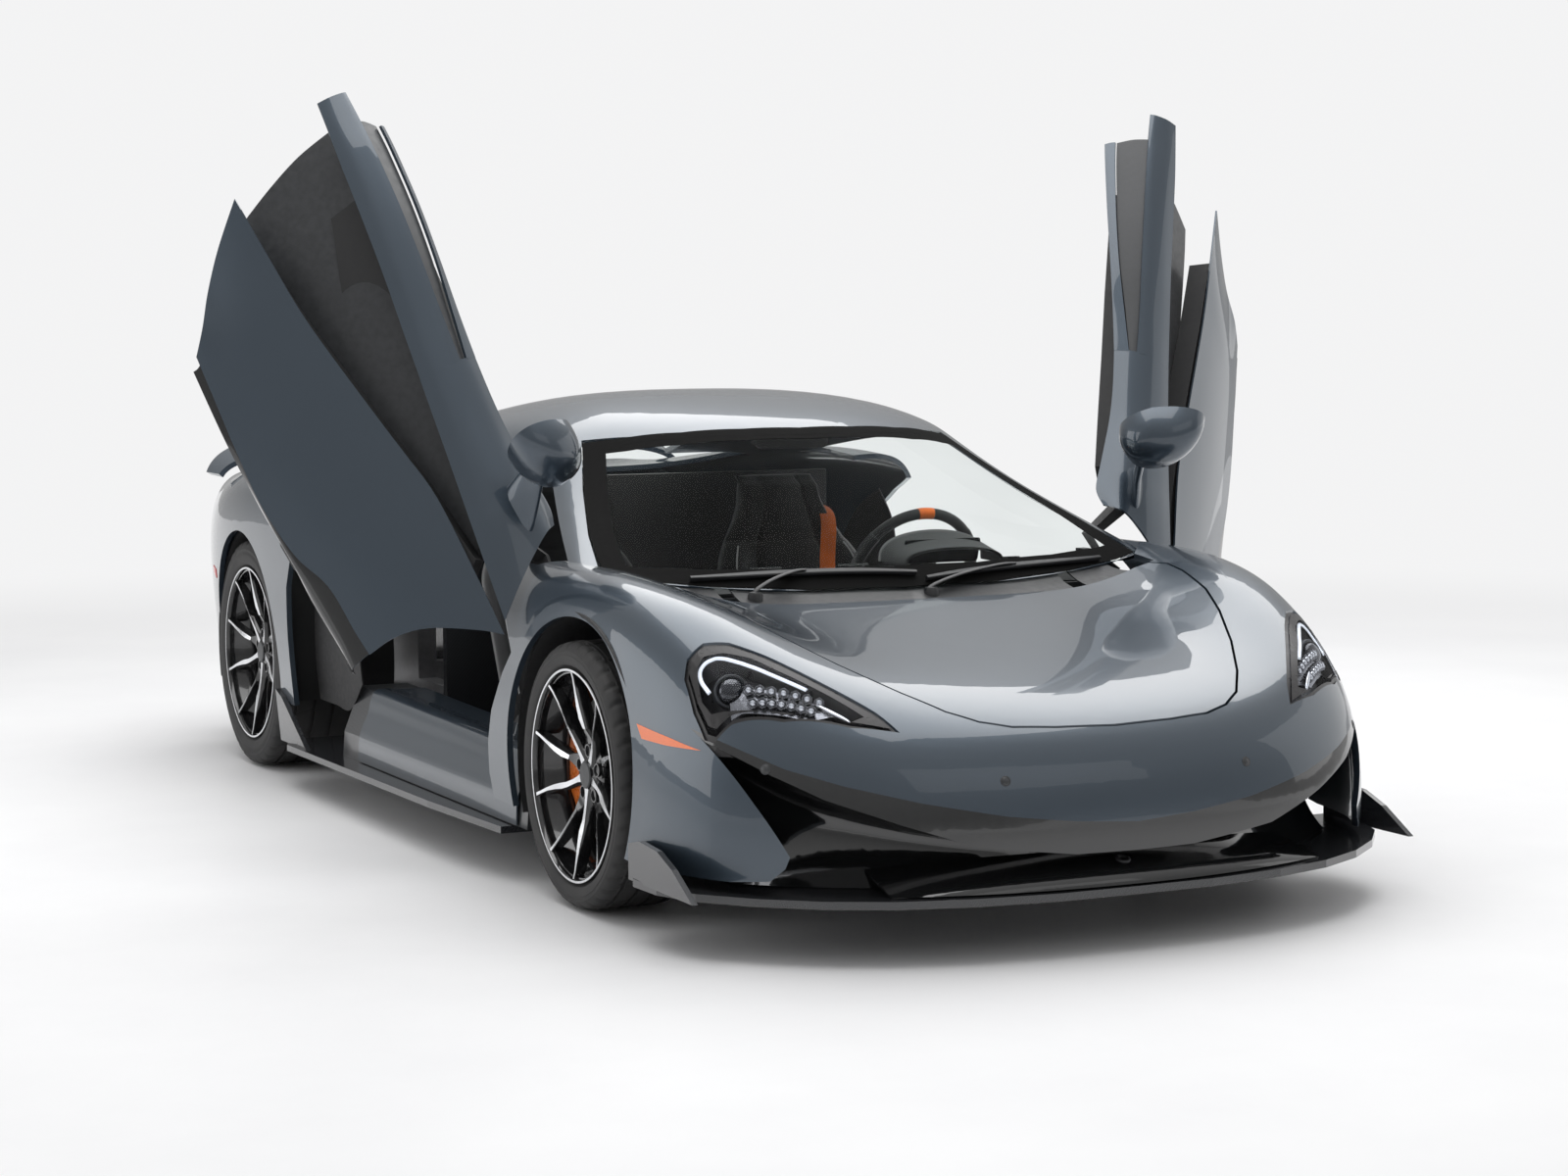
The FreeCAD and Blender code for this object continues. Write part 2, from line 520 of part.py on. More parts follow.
pin_foot = hull_loft([[at(700, -900, 600), at(740, -900, 600), at(740, -840, 600), at(700, -840, 600)],
                      [at(724, -845, 770), at(750, -845, 770), at(750, -800, 770), at(724, -800, 770)]])
jack_pads = [box(720, 780, s - 30, s + 30, 104, 130) for s in (-700, 500)]
half_tub = [sill, post, bonnet_bracket, bonnet_pin, door_pin, pin_foot] + jack_pads
tub = fused([tub_floor, front_wall, rear_wall, rear_foot] + half_tub + [mirrored(s) for s in half_tub])
save("monocell", solids_of(tub.cut(wheel_space)))

front_rail = box(440, 500, -1700, -931, floor_top, 260)
front_tower = box(440, 500, -1400, -1080, 260, 480)
rear_rail = box(380, 440, 620, 1820, floor_top, 260)
rear_tower = box(380, 440, 1270, 1590, 260, 520)
rear_cross = box(-380, 380, 1700, 1760, floor_top, 260)
rails = [fused([front_rail, front_tower]), mirrored(fused([front_rail, front_tower])),
         fused([rear_rail, rear_tower, rear_cross, mirrored(rear_rail), mirrored(rear_tower)])]
save("subframes", Part.makeCompound(rails))

save("engine_block", box(-300, 300, 640, 1250, floor_top, 700))
well = box(-420, 420, -2000, -1320, 200, 210)
well_side = side([(-2000, 210), (-1320, 210), (-1320, 580), (-2000, 470)], 410, 420)
walls = [well_side, mirrored(well_side), box(-410, 410, -2000, -1990, 210, 470), box(-410, 410, -1330, -1320, 210, 580),
         box(-200, 200, -1690, -1400, floor_top, 200)]
save("luggage_well", solids_of(fused([well] + walls)))


# Wheel housings
def housing(axle_y, height, radius, near, far, skirt_z):
    outer = axle_bar(axle_y, height, radius + 12, near, far)
    inner = axle_bar(axle_y, height, radius + 4, near + 6, far + 40)
    arm_way = Part.makeBox(60, 330, 420, FreeCAD.Vector(near - 20, axle_y - 165, height - 190))
    ring = outer.cut(inner).cut(arm_way)
    keep = Part.makeBox(1200, 3000, 1200, FreeCAD.Vector(0, axle_y - 1500, skirt_z))
    return ring.common(keep)


front_housing = housing(front_axle_y, front_tyre_radius, front_tyre_radius + front_arch_gap, 540, 920, 180)
rear_housing = housing(rear_axle_y, rear_tyre_radius, rear_tyre_radius + rear_arch_gap, 600, 930, 240)
rear_housing = rear_housing.cut(body_half)
front_housing = front_housing.cut(body_half)
save("wheel_housings", Part.makeCompound([front_housing, mirrored(front_housing), rear_housing,
                                          mirrored(rear_housing)]))

# Side skirts
skirt_plate = plan([(700, -780), (940, -780), (965, -300), (975, 300), (985, 900), (940, 1020), (700, 1020)], 112,
                   floor_top)
skirt_fin = side([(760, 130), (1010, 130), (1060, 280), (1000, 262)], 955, 970)
pad_spaces = [box(718, 782, s - 32, s + 32, 100, 140) for s in (-700, 500)]
skirt = skirt_plate.fuse(skirt_fin).cut(pad_spaces[0]).cut(pad_spaces[1])
save("side_skirts", both(solids_of(skirt)))


# Cabin
def seat(x):
    cushion = hull_loft([[at(x - 230, -480, 160.3), at(x + 230, -480, 160.3), at(x + 230, -480, 330), at(x - 230, -480, 330)],
                         [at(x - 240, 60, 160.3), at(x + 240, 60, 160.3), at(x + 240, 60, 290), at(x - 240, 60, 290)]])
    back = hull_loft([[at(x - 240, -20, 200), at(x + 240, -20, 200), at(x + 240, 110, 200), at(x - 240, 110, 200)],
                      [at(x - 240, 190, 640), at(x + 240, 190, 640), at(x + 240, 290, 640), at(x - 240, 290, 640)],
                      [at(x - 130, 290, 930), at(x + 130, 290, 930), at(x + 130, 370, 930), at(x - 130, 370, 930)]])
    return solids_of(cushion.fuse(back))


save("seats", Part.makeCompound([seat(370), seat(-370)]))
dash_rows = [
    [(0, -899, 700), (300, -899, 700), (560, -899, 700), (685, -899, 690)],
    [(0, -780, 770), (300, -780, 775), (560, -770, 775), (685, -760, 750)],
    [(0, -640, 720), (300, -640, 730), (560, -640, 730), (685, -640, 700)],
    [(0, -680, 560), (300, -680, 570), (560, -680, 580), (685, -680, 580)],
]
dash = skin(whole(dash_rows), 20)
console = box(-90, 90, -700, 380, 160.3, 420)
console_face = box(-90, 90, -720, -660, 420, 640)
wheel_hub = at(370, -520, 700)
column_dir = FreeCAD.Vector(0, -math.cos(math.radians(25)), -math.sin(math.radians(25)))
hub_depth = 40.0
column = tube(wheel_hub + column_dir * (hub_depth + pin_clearance), wheel_hub + column_dir * 300, 25)
save("dashboard", solids_of(fused([dash, console, console_face, column])))

# Steering wheel
rim = Part.makeTorus(180, 15, wheel_hub, column_dir)
hub = Part.makeCylinder(60, hub_depth, wheel_hub, column_dir)
spoke_bar = Part.makeBox(350, 20, 30, FreeCAD.Vector(-175, -10, -15))
spoke_bar.rotate(FreeCAD.Vector(0, 0, 0), FreeCAD.Vector(1, 0, 0), 25)
spoke_bar.translate(wheel_hub)
save("steering_wheel", solids_of(fused([rim, hub, spoke_bar])))

# Wheels
bead_depth = 12.0
lip_width = 10.0
hub_inset = 42.0
hub_length = 40.0


def turned(profile):
    """Ring turned about the x axis from radius and x pairs."""
    wire = Part.makePolygon([FreeCAD.Vector(x, 0, r) for r, x in profile + [profile[0]]])
    return Part.Face(wire).revolve(FreeCAD.Vector(0, 0, 0), FreeCAD.Vector(1, 0, 0), 360)


def rim_shape(radius, width, face_x):
    """Cast wheel with thin paired spokes, axle along x, outer face at face_x."""
    inner_x = face_x - width
    bead = radius - bead_depth
    barrel = turned([(radius, face_x), (radius, face_x - lip_width), (bead, face_x - lip_width),
                     (bead, face_x - 36), (radius - 30, face_x - 60), (radius - 30, inner_x + 60),
                     (bead, inner_x + 36), (bead, inner_x + lip_width), (radius, inner_x + lip_width),
                     (radius, inner_x), (radius - 22, inner_x + 4), (radius - 38, inner_x + 50),
                     (radius - 38, face_x - 50), (radius - 22, face_x - 24), (radius - 12, face_x - 4),
                     (radius - 8, face_x)])
    hub_x = face_x - hub_inset
    x_way = FreeCAD.Vector(1, 0, 0)
    hub_disc = Part.makeCylinder(78, hub_length, FreeCAD.Vector(hub_x - hub_length, 0, 0), x_way)
    cap = Part.makeCylinder(34, 6, FreeCAD.Vector(hub_x, 0, 0), x_way)
    shapes = [barrel, hub_disc, cap]
    for pair in range(spoke_pairs):
        for lean in (-1, 1):
            middle = 360.0 / spoke_pairs * pair
            stations = ((58, middle + lean * 10, hub_x - 2, 22, 30), (radius * 0.55, middle + lean * 12, hub_x + 8, 15, 30),
                        (radius - 16, middle + lean * 17.5, face_x - 12, 13, 22))
            sections = []
            for share, degrees, front_x, wide, deep in stations:
                angle = math.radians(degrees)
                across = FreeCAD.Vector(0, math.cos(angle), -math.sin(angle)) * (wide / 2.0)
                centre = FreeCAD.Vector(front_x, math.sin(angle) * share, math.cos(angle) * share)
                back = FreeCAD.Vector(-deep, 0, 0)
                sections.append([centre - across, centre + across, centre + across * 0.8 + back,
                                 centre - across * 0.8 + back])
            shapes.append(hull_loft(sections))
    return fused(shapes)


def tyre_shape(radius, rim_radius, width, outer_x):
    """Tyre seated on the bead of a rim whose lips stand 4 mm inside its side walls."""
    inner_x = outer_x - width
    bead = rim_radius - bead_depth
    lip = 4 + lip_width
    return turned([(bead, outer_x - lip), (rim_radius + 1, outer_x - lip), (rim_radius + 8, outer_x - 5),
                   ((radius + rim_radius) / 2, outer_x), (radius - 14, outer_x - 6), (radius - 4, outer_x - 22),
                   (radius, outer_x - 50), (radius, inner_x + 50), (radius - 4, inner_x + 22),
                   (radius - 14, inner_x + 6), ((radius + rim_radius) / 2, inner_x), (rim_radius + 8, inner_x + 5),
                   (rim_radius + 1, inner_x + lip), (bead, inner_x + lip), (bead, inner_x + lip + 24),
                   (rim_radius + 4, inner_x + lip + 24), (radius - 20, inner_x + 20), (radius - 20, outer_x - 20),
                   (rim_radius + 4, outer_x - lip - 24), (bead, outer_x - lip - 24)])


def place_wheel(shape, axle_y, height, left):
    placed = shape.copy()
    placed.translate(FreeCAD.Vector(0, axle_y, height))
    return placed if left else mirrored(placed)


front_rim = rim_shape(front_rim_radius, front_tyre_width - 8, front_face_x - 4)
rear_rim = rim_shape(rear_rim_radius, rear_tyre_width - 8, rear_face_x - 4)
front_tyre = tyre_shape(front_tyre_radius, front_rim_radius, front_tyre_width, front_face_x)
rear_tyre = tyre_shape(rear_tyre_radius, rear_rim_radius, rear_tyre_width, rear_face_x)
for name, left in (("left", True), ("right", False)):
    save("front_" + name + "_rim", place_wheel(front_rim, front_axle_y, front_tyre_radius, left))
    save("front_" + name + "_tyre", place_wheel(front_tyre, front_axle_y, front_tyre_radius, left))
    save("rear_" + name + "_rim", place_wheel(rear_rim, rear_axle_y, rear_tyre_radius, left))
    save("rear_" + name + "_tyre", place_wheel(rear_tyre, rear_axle_y, rear_tyre_radius, left))

# Front uprights with their calipers, between the ends of the wishbones
front_hub_back = front_face_x - 4 - hub_inset - hub_length
rear_hub_back = rear_face_x - 4 - hub_inset - hub_length
upright_x = 735.0
king_centre = FreeCAD.Vector(upright_x + 25, front_axle_y, front_tyre_radius)
king_axis = FreeCAD.Vector(-0.16, 0.07, 0.985)
king_axis.normalize()
ball_reach = 165.0
ball_radius = 15.0
king_reach = ball_reach - ball_radius - pin_clearance
king_body_reach = king_reach - 14.0


def upright():
    axle = FreeCAD.Vector(0, front_axle_y, front_tyre_radius)
    stub = tube(axle + FreeCAD.Vector(upright_x, 0, 0), axle + FreeCAD.Vector(front_hub_back - pin_clearance, 0, 0), 38)
    body = tube(king_centre - king_axis * king_body_reach, king_centre + king_axis * king_body_reach, 20)
    king_pin = tube(king_centre - king_axis * king_reach, king_centre + king_axis * king_reach, 11)
    caliper = tube(axle + FreeCAD.Vector(770, 0, 0), axle + FreeCAD.Vector(840, 0, 0), 205)
    caliper = caliper.cut(tube(axle + FreeCAD.Vector(760, 0, 0), axle + FreeCAD.Vector(860, 0, 0), 130))
    caliper = caliper.common(Part.makeBox(120, 110, 240, axle + FreeCAD.Vector(760, 100, -120)))
    arm = Part.makeBox(40, 150, 50, axle + FreeCAD.Vector(745, 0, -25))
    return solids_of(fused([stub, body, king_pin, arm, caliper]))


knuckle = upright()
save("knuckle_left", knuckle)
save("knuckle_right", mirrored(knuckle))


# Suspension arms and rear uprights
def wishbone(inner_x, outer_x, y, z_in, z_out, spread):
    a = FreeCAD.Vector(inner_x, y - spread, z_in)
    b = FreeCAD.Vector(inner_x, y + spread, z_in)
    c = FreeCAD.Vector(outer_x, y, z_out)
    ball = Part.makeSphere(ball_radius, c)
    return fused([tube(a, c, 11), tube(b, c, 11), ball])


low_ball = king_centre - king_axis * ball_reach
high_ball = king_centre + king_axis * ball_reach
low_arm = wishbone(500, low_ball.x, low_ball.y, 175, low_ball.z, 110)
high_arm = wishbone(500, high_ball.x, high_ball.y, 440, high_ball.z, 110)
arm_keep = Part.makeBox(400, 1000, 800, FreeCAD.Vector(500, front_axle_y - 500, 0))
arms = [low_arm.common(arm_keep), high_arm.common(arm_keep)]
save("front_suspension", Part.makeCompound(arms + [mirrored(a) for a in arms]))
rear_arms = [wishbone(440, 700, rear_axle_y, 210, 210, 120), wishbone(440, 700, rear_axle_y, 470, 490, 120)]
axle_c = FreeCAD.Vector(0, rear_axle_y, rear_tyre_radius)
rear_upright = fused([Part.makeBox(50, 120, 320, axle_c + FreeCAD.Vector(690, -60, -160)),
                      tube(axle_c + FreeCAD.Vector(690, 0, 0),
                           axle_c + FreeCAD.Vector(rear_hub_back - pin_clearance, 0, 0), 38)] + rear_arms)
rear_keep = Part.makeBox(500, 1000, 900, FreeCAD.Vector(440, rear_axle_y - 500, 0))
rear_upright = rear_upright.common(rear_keep)
save("rear_suspension", Part.makeCompound([rear_upright, mirrored(rear_upright)]))

# Doors, drawn shut and then swung up about their slanted hinge
door_zone = Part.makeBox(500, 6000, 1500, FreeCAD.Vector(640, -3000, 0))
door_skin = solids_of(body_half.common(side(skin_line)).common(door_zone))
door_blade = solids_of(body_half.common(side(blade_panel_line)).common(door_zone))
inner_poles = set_in(body_poles, panel_wall)
flank = patch_of(inner_poles, 6, 11, 15, 20)
core_depth = 62.0
core_outline = [(-690, 300), (-695, 339), (-712, 423), (-722, 500), (-700, 570), (-610, 700), (-540, 768),
                (-226, 833), (122, 914), (480, 985), (470, 890), (420, 620), (310, 450), (200, 365), (100, 318)]
channel_line = [(-700, 612), (-411, 605), (56, 570), (430, 560), (480, 600), (500, 700), (480, 840), (380, 880),
                (113, 830), (-244, 745), (-601, 662)]
core = skin(flank, core_depth).common(side(core_outline))
core = core.cut(side(channel_line, 868, 1100))
door_arm = tube(hinge_point, hinge_point + hinge_axis * 42, 24)
arm_bar = hull_loft([[at(790, -838, 690), at(812, -838, 690), at(812, -838, 716), at(790, -838, 716)],
                     [at(716, -725, 692), at(742, -725, 692), at(742, -725, 724), at(716, -725, 724)],
                     [at(780, -610, 640), at(812, -610, 640), at(812, -610, 690), at(780, -610, 690)],
                     [at(815, -540, 600), at(850, -540, 600), at(850, -540, 680), at(815, -540, 680)]])
pin_space = Part.makeCylinder(hinge_pin_radius + pin_clearance, 200, hinge_point - hinge_axis * 100, hinge_axis)
core = fused([core, door_arm, arm_bar]).cut(pin_space)
core = max(core.Solids, key=lambda piece: piece.Volume)


def swung(shape):
    moved = shape.copy()
    moved.rotate(hinge_point, hinge_axis, door_angle)
    return moved


mirror_head = Part.makeSphere(70)
stretch = FreeCAD.Matrix()
stretch.scale(1.3, 0.9, 0.85)
mirror_head = mirror_head.transformGeometry(stretch)
mirror_head.translate(at(991, -545, 924))
stalk = hull_loft([[at(862, -665, 745), at(888, -655, 745), at(888, -580, 745), at(862, -570, 745)],
                   [at(930, -574, 890), at(960, -570, 890), at(960, -535, 890), at(930, -530, 890)]])
door_mirror = fused([mirror_head, stalk]).cut(door_blade).cut(core)
door_mirror = max(door_mirror.Solids, key=lambda piece: piece.Volume)
for name, turn in (("left", lambda s: s), ("right", mirrored)):
    save("door_" + name + "_skin", turn(swung(Part.makeCompound([door_skin, door_blade]))))
    save("door_" + name + "_inner", turn(swung(core)))
    save("door_" + name + "_mirror", turn(swung(door_mirror)))
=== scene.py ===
import bpy
import json
import math
from mathutils import Matrix, Vector, geometry
from mathutils.bvhtree import BVHTree


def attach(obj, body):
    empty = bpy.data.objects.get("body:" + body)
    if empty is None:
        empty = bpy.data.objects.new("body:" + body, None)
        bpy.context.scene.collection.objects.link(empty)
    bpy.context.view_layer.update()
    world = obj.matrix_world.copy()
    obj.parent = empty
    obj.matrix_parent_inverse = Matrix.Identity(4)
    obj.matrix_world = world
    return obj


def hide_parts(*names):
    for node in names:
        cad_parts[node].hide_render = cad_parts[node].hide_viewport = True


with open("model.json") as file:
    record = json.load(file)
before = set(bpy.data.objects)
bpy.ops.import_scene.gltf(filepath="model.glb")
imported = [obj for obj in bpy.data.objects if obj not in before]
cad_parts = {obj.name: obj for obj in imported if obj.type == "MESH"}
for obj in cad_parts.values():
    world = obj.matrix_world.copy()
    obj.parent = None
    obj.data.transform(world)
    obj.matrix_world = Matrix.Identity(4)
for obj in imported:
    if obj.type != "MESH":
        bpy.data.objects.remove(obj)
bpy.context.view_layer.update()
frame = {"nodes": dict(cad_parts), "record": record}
nodes = frame["nodes"]
scene = bpy.context.scene

# Measures of the car and the camera, metres and degrees
FRONT_Y, REAR_Y = -1.279, 1.391
FRONT_R, REAR_R = 0.32, 0.354
CAM_POINT = Vector((-3.646, -8.025, 1.417))
CAM_YAW, CAM_PITCH, CAM_ROLL = -25.89, 5.14, -0.26
CAM_LENS, SENSOR_WIDTH = 70.98, 36.0
FORWARD, BACKWARD, UP, LEFT = (0, -1, 0), (0, 1, 0), (0, 0, 1), (1, 0, 0)
SIDES = (("left", 1), ("right", -1))
PAINT = (0.044, 0.062, 0.083)
PALE = (0.9, 0.9, 0.905, 1.0)


# Materials

def feed(node, socket, value):
    """Links the output of another node to the input, or writes a plain value in it."""
    if isinstance(value, bpy.types.NodeSocket):
        node.id_data.links.new(value, socket)
    else:
        socket.default_value = value


def put(node, **values):
    for key, value in values.items():
        feed(node, node.inputs[key.replace("_", " ")], value)
    return node


def add(tree, kind, *values, **named):
    """New node, with its inputs in their order or by name."""
    node = tree.nodes.new("ShaderNode" + kind)
    for socket, value in zip(node.inputs, values):
        feed(node, socket, value)
    return put(node, **named)


def new_material(name):
    mat = bpy.data.materials.new(name)
    mat.use_nodes = True
    return mat, mat.node_tree, mat.node_tree.nodes["Principled BSDF"]


def noise(tree, scale, detail=4.0, rough=0.5):
    where = add(tree, "TexCoord").outputs["Object"]
    return add(tree, "TexNoise", Scale=scale, Detail=detail, Roughness=rough, Vector=where).outputs["Fac"]


def ramp(tree, source, *stops):
    node = add(tree, "ValToRGB", source)
    elements = node.color_ramp.elements
    elements[0].position, elements[0].color = stops[0]
    elements[1].position, elements[1].color = stops[-1]
    for place, colour in stops[1:-1]:
        elements.new(place).color = colour
    return node.outputs["Color"]


def bump(tree, height, strength, distance):
    return add(tree, "Bump", Strength=strength, Distance=distance, Height=height).outputs["Normal"]


def reckoned(tree, operation, first, second):
    node = add(tree, "Math", first, second)
    node.operation = operation
    return node.outputs["Value"]


def grey(v):
    return (v, v, v, 1.0)


def shade(rgb, k=1.0):
    return (rgb[0] * k, rgb[1] * k, rgb[2] * k, 1.0)


def paint_material():
    mat, tree, bsdf = new_material("slate_paint")
    flake = noise(tree, 5200.0, 1.0)
    tone = ramp(tree, flake, (0.3, shade(PAINT, 0.8)), (0.5, shade(PAINT)), (0.72, shade(PAINT, 1.28)))
    put(bsdf, Base_Color=tone, Roughness=ramp(tree, noise(tree, 2.5, 3.0), (0.2, grey(0.3)), (0.8, grey(0.36))),
        Normal=bump(tree, flake, 0.05, 0.0004), Metallic=0.55, Coat_Weight=1.0, Coat_Roughness=0.015,
        Coat_IOR=1.5)
    return mat


def plain_material(name, rgb, metallic=0.0, rough=0.4, spread=0.08, scale=60.0, grain=0.0, grain_scale=900.0,
                   vary=0.12, **more):
    """Surface whose tone and roughness wander a little, with an optional fine grain."""
    mat, tree, bsdf = new_material(name)
    wander = noise(tree, scale, 5.0)
    put(bsdf, Base_Color=ramp(tree, wander, (0.3, shade(rgb, 1.0 - vary)), (0.7, shade(rgb, 1.0 + vary))),
        Roughness=ramp(tree, wander, (0.25, grey(max(0.02, rough - spread))), (0.75, grey(rough + spread))),
        Metallic=metallic, **more)
    if grain:
        put(bsdf, Normal=bump(tree, noise(tree, grain_scale, 3.0, 0.6), grain, 0.0006))
    return mat


def glass_material(name, rgb, alpha):
    """Thin clear sheet: mostly seen through, with a glossy skin on its outer side."""
    mat, tree, bsdf = new_material(name)
    tint = ramp(tree, noise(tree, 3.0, 2.0), (0.3, shade(rgb, 0.97)), (0.7, shade(rgb)))
    clear = add(tree, "BsdfTransparent", Color=tint).outputs["BSDF"]
    put(bsdf, Metallic=0.0, Roughness=0.01, Base_Color=grey(0.02), Coat_Weight=1.0, Coat_Roughness=0.01)
    edge = add(tree, "LayerWeight", Blend=0.16).outputs["Fresnel"]
    share = ramp(tree, edge, (0.0, grey(alpha)), (0.5, grey(alpha + 0.1)), (1.0, grey(0.7)))
    front = reckoned(tree, "SUBTRACT", 1.0, add(tree, "NewGeometry").outputs["Backfacing"])
    sheet = add(tree, "MixShader", reckoned(tree, "MULTIPLY", share, front), clear, bsdf.outputs["BSDF"])
    put(tree.nodes["Material Output"], Surface=sheet.outputs["Shader"])
    return mat


def weave_material(name, rgb, scale=1400.0, rough=0.9, sheen=0.35):
    """Short-napped cloth."""
    mat, tree, bsdf = new_material(name)
    nap = noise(tree, scale, 4.0, 0.7)
    put(bsdf, Base_Color=ramp(tree, noise(tree, 14.0), (0.25, shade(rgb, 0.78)), (0.75, shade(rgb, 1.25))),
        Roughness=ramp(tree, nap, (0.2, grey(rough - 0.1)), (0.8, grey(min(1.0, rough + 0.06)))),
        Normal=bump(tree, nap, 0.25, 0.0006), Sheen_Weight=sheen, Sheen_Roughness=0.5)
    return mat


def carbon_material(name, rgb, rough=0.3):
    """Twill cloth under lacquer."""
    mat, tree, bsdf = new_material(name)
    turn = add(tree, "Mapping", Vector=add(tree, "TexCoord").outputs["Object"], Rotation=(0.3, 0.5, 0.785))
    check = add(tree, "TexChecker", Vector=turn.outputs["Vector"], Color1=shade(rgb, 0.7), Color2=shade(rgb, 1.3),
                Scale=420.0)
    put(bsdf, Base_Color=check.outputs["Color"], Normal=bump(tree, check.outputs["Fac"], 0.15, 0.0003),
        Roughness=rough, Coat_Weight=0.6, Coat_Roughness=0.12)
    return mat


def rubber_material():
    mat, tree, bsdf = new_material("tyre_rubber")
    tone = ramp(tree, noise(tree, 9.0, 6.0), (0.3, (0.016, 0.016, 0.017, 1.0)), (0.8, (0.032, 0.031, 0.03, 1.0)))
    fine = noise(tree, 1500.0, 3.0)
    put(bsdf, Base_Color=tone, Roughness=ramp(tree, fine, (0.2, grey(0.55)), (0.8, grey(0.78))),
        Normal=bump(tree, fine, 0.12, 0.0004))
    return mat


def lit_material(name, rgb, glow):
    mat, tree, bsdf = new_material(name)
    tone = ramp(tree, noise(tree, 200.0, 2.0), (0.2, shade(rgb, 0.92)), (0.8, shade(rgb, 1.05)))
    put(bsdf, Base_Color=tone, Emission_Color=tone, Roughness=0.25, Emission_Strength=glow, Coat_Weight=0.5)
    return mat


paint = paint_material()
gloss_black = plain_material("gloss_black", (0.01, 0.0105, 0.011), rough=0.1, spread=0.03, Coat_Weight=1.0,
                             Coat_Roughness=0.02)
satin_black = plain_material("satin_black", (0.022, 0.023, 0.025), rough=0.42, grain=0.1)
dark_satin = plain_material("dark_satin", (0.045, 0.047, 0.05), metallic=0.2, rough=0.36, grain=0.05)
trim = plain_material("grained_trim", (0.018, 0.018, 0.019), rough=0.62, grain=0.3, grain_scale=700.0)
composite = carbon_material("tub_composite", (0.03, 0.032, 0.035))
lacquer_carbon = carbon_material("lacquered_twill", (0.026, 0.027, 0.03), 0.16)
alloy = plain_material("cast_alloy", (0.42, 0.42, 0.43), metallic=0.9, rough=0.42, grain=0.15)
steel = plain_material("warm_steel", (0.4, 0.37, 0.35), metallic=1.0, rough=0.28, vary=0.2, scale=12.0)
machined = plain_material("machined_alloy", (0.8, 0.81, 0.83), metallic=1.0, rough=0.24, spread=0.05, vary=0.04)
rim_black = plain_material("rim_black", (0.014, 0.014, 0.015), metallic=0.3, rough=0.16, Coat_Weight=1.0,
                           Coat_Roughness=0.05)
rubber = rubber_material()
clear_glass = glass_material("clear_cover", (0.97, 0.98, 1.0), 0.05)
tinted_glass = glass_material("screen_glass", (0.955, 0.975, 0.97), 0.02)
rear_glass = glass_material("rear_glass", (0.35, 0.37, 0.38), 0.12)
bezel = plain_material("lamp_bezel", (0.03, 0.029, 0.03), metallic=0.3, rough=0.32)
red_lamp = lit_material("red_lamp", (0.45, 0.01, 0.008), 0.25)
suede = weave_material("black_suede", (0.018, 0.0185, 0.02))
orange = plain_material("orange_enamel", (0.78, 0.17, 0.012), rough=0.28, Coat_Weight=0.7, Coat_Roughness=0.08)
disc_metal = plain_material("brake_disc", (0.17, 0.165, 0.16), metallic=0.7, rough=0.42, scale=30.0)
chrome = plain_material("bright_reflector", (0.75, 0.76, 0.78), metallic=1.0, rough=0.1, spread=0.04, vary=0.03)
grey_reflector = plain_material("lamp_reflector", (0.3, 0.3, 0.31), metallic=0.85, rough=0.24, scale=140.0)
light_guide = lit_material("light_guide", (0.86, 0.9, 0.95), 0.55)
amber = lit_material("amber_marker", (0.72, 0.13, 0.012), 0.06)
frit = plain_material("screen_frit", (0.006, 0.006, 0.006), rough=0.85, spread=0.05, Specular_IOR_Level=0.06)
mirror_glass = plain_material("mirror_glass", (0.86, 0.88, 0.9), metallic=1.0, rough=0.03, spread=0.01, vary=0.01)
screen_black = plain_material("display_glass", (0.012, 0.013, 0.016), rough=0.06, spread=0.02, Coat_Weight=1.0)
piping = weave_material("light_piping", (0.42, 0.43, 0.44), rough=0.7)
webbing = weave_material("orange_webbing", (0.85, 0.16, 0.01), scale=900.0, rough=0.75, sheen=0.2)
dark_webbing = weave_material("dark_webbing", (0.02, 0.02, 0.021), scale=900.0, rough=0.75, sheen=0.2)
slots = {"paint": paint, "gloss_black": gloss_black, "trim": trim, "carbon": composite, "alloy": alloy,
         "steel": steel, "rim": machined, "tyre": rubber, "clear": clear_glass, "tinted": tinted_glass,
         "lamp": bezel, "red_lamp": red_lamp, "suede": suede, "caliper": orange}


def dress(node, mat):
    data = nodes[node].data
    data.materials.clear()
    data.materials.append(mat)


for part in frame["record"]["subparts"]:
    dress(part["node"], slots[part["material_slot"]])
dress("rear_window", rear_glass)
for name in ("front_splitter", "rear_diffuser", "side_skirts"):
    dress(name, lacquer_carbon)


# Pieces; a mesh is its points and its faces

def piece(name, mesh, mats, slot, body="chassis", smooth=True, edge=None, index=None, stands_for=None):
    """Object that rides on a body. Edges past the edge angle are hard, and index gives each face its material."""
    verts, faces = mesh
    data = bpy.data.meshes.new(name)
    data.from_pydata([tuple(v) for v in verts], [], faces)
    data.update()
    obj = bpy.data.objects.new(name, data)
    scene.collection.objects.link(obj)
    for mat in mats if isinstance(mats, list) else [mats]:
        data.materials.append(mat)
    if index:
        data.polygons.foreach_set("material_index", index)
    data.polygons.foreach_set("use_smooth", [smooth] * len(data.polygons))
    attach(obj, body)
    if edge:
        obj.modifiers.new("edges", "EDGE_SPLIT").split_angle = math.radians(edge)
    if stands_for:
        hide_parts(stands_for)
    return obj


def flipped(points, side):
    return [Vector((p.x * side, p.y, p.z)) for p in points]


def turn_faces(faces, side):
    return faces if side > 0 else [f[::-1] for f in faces]


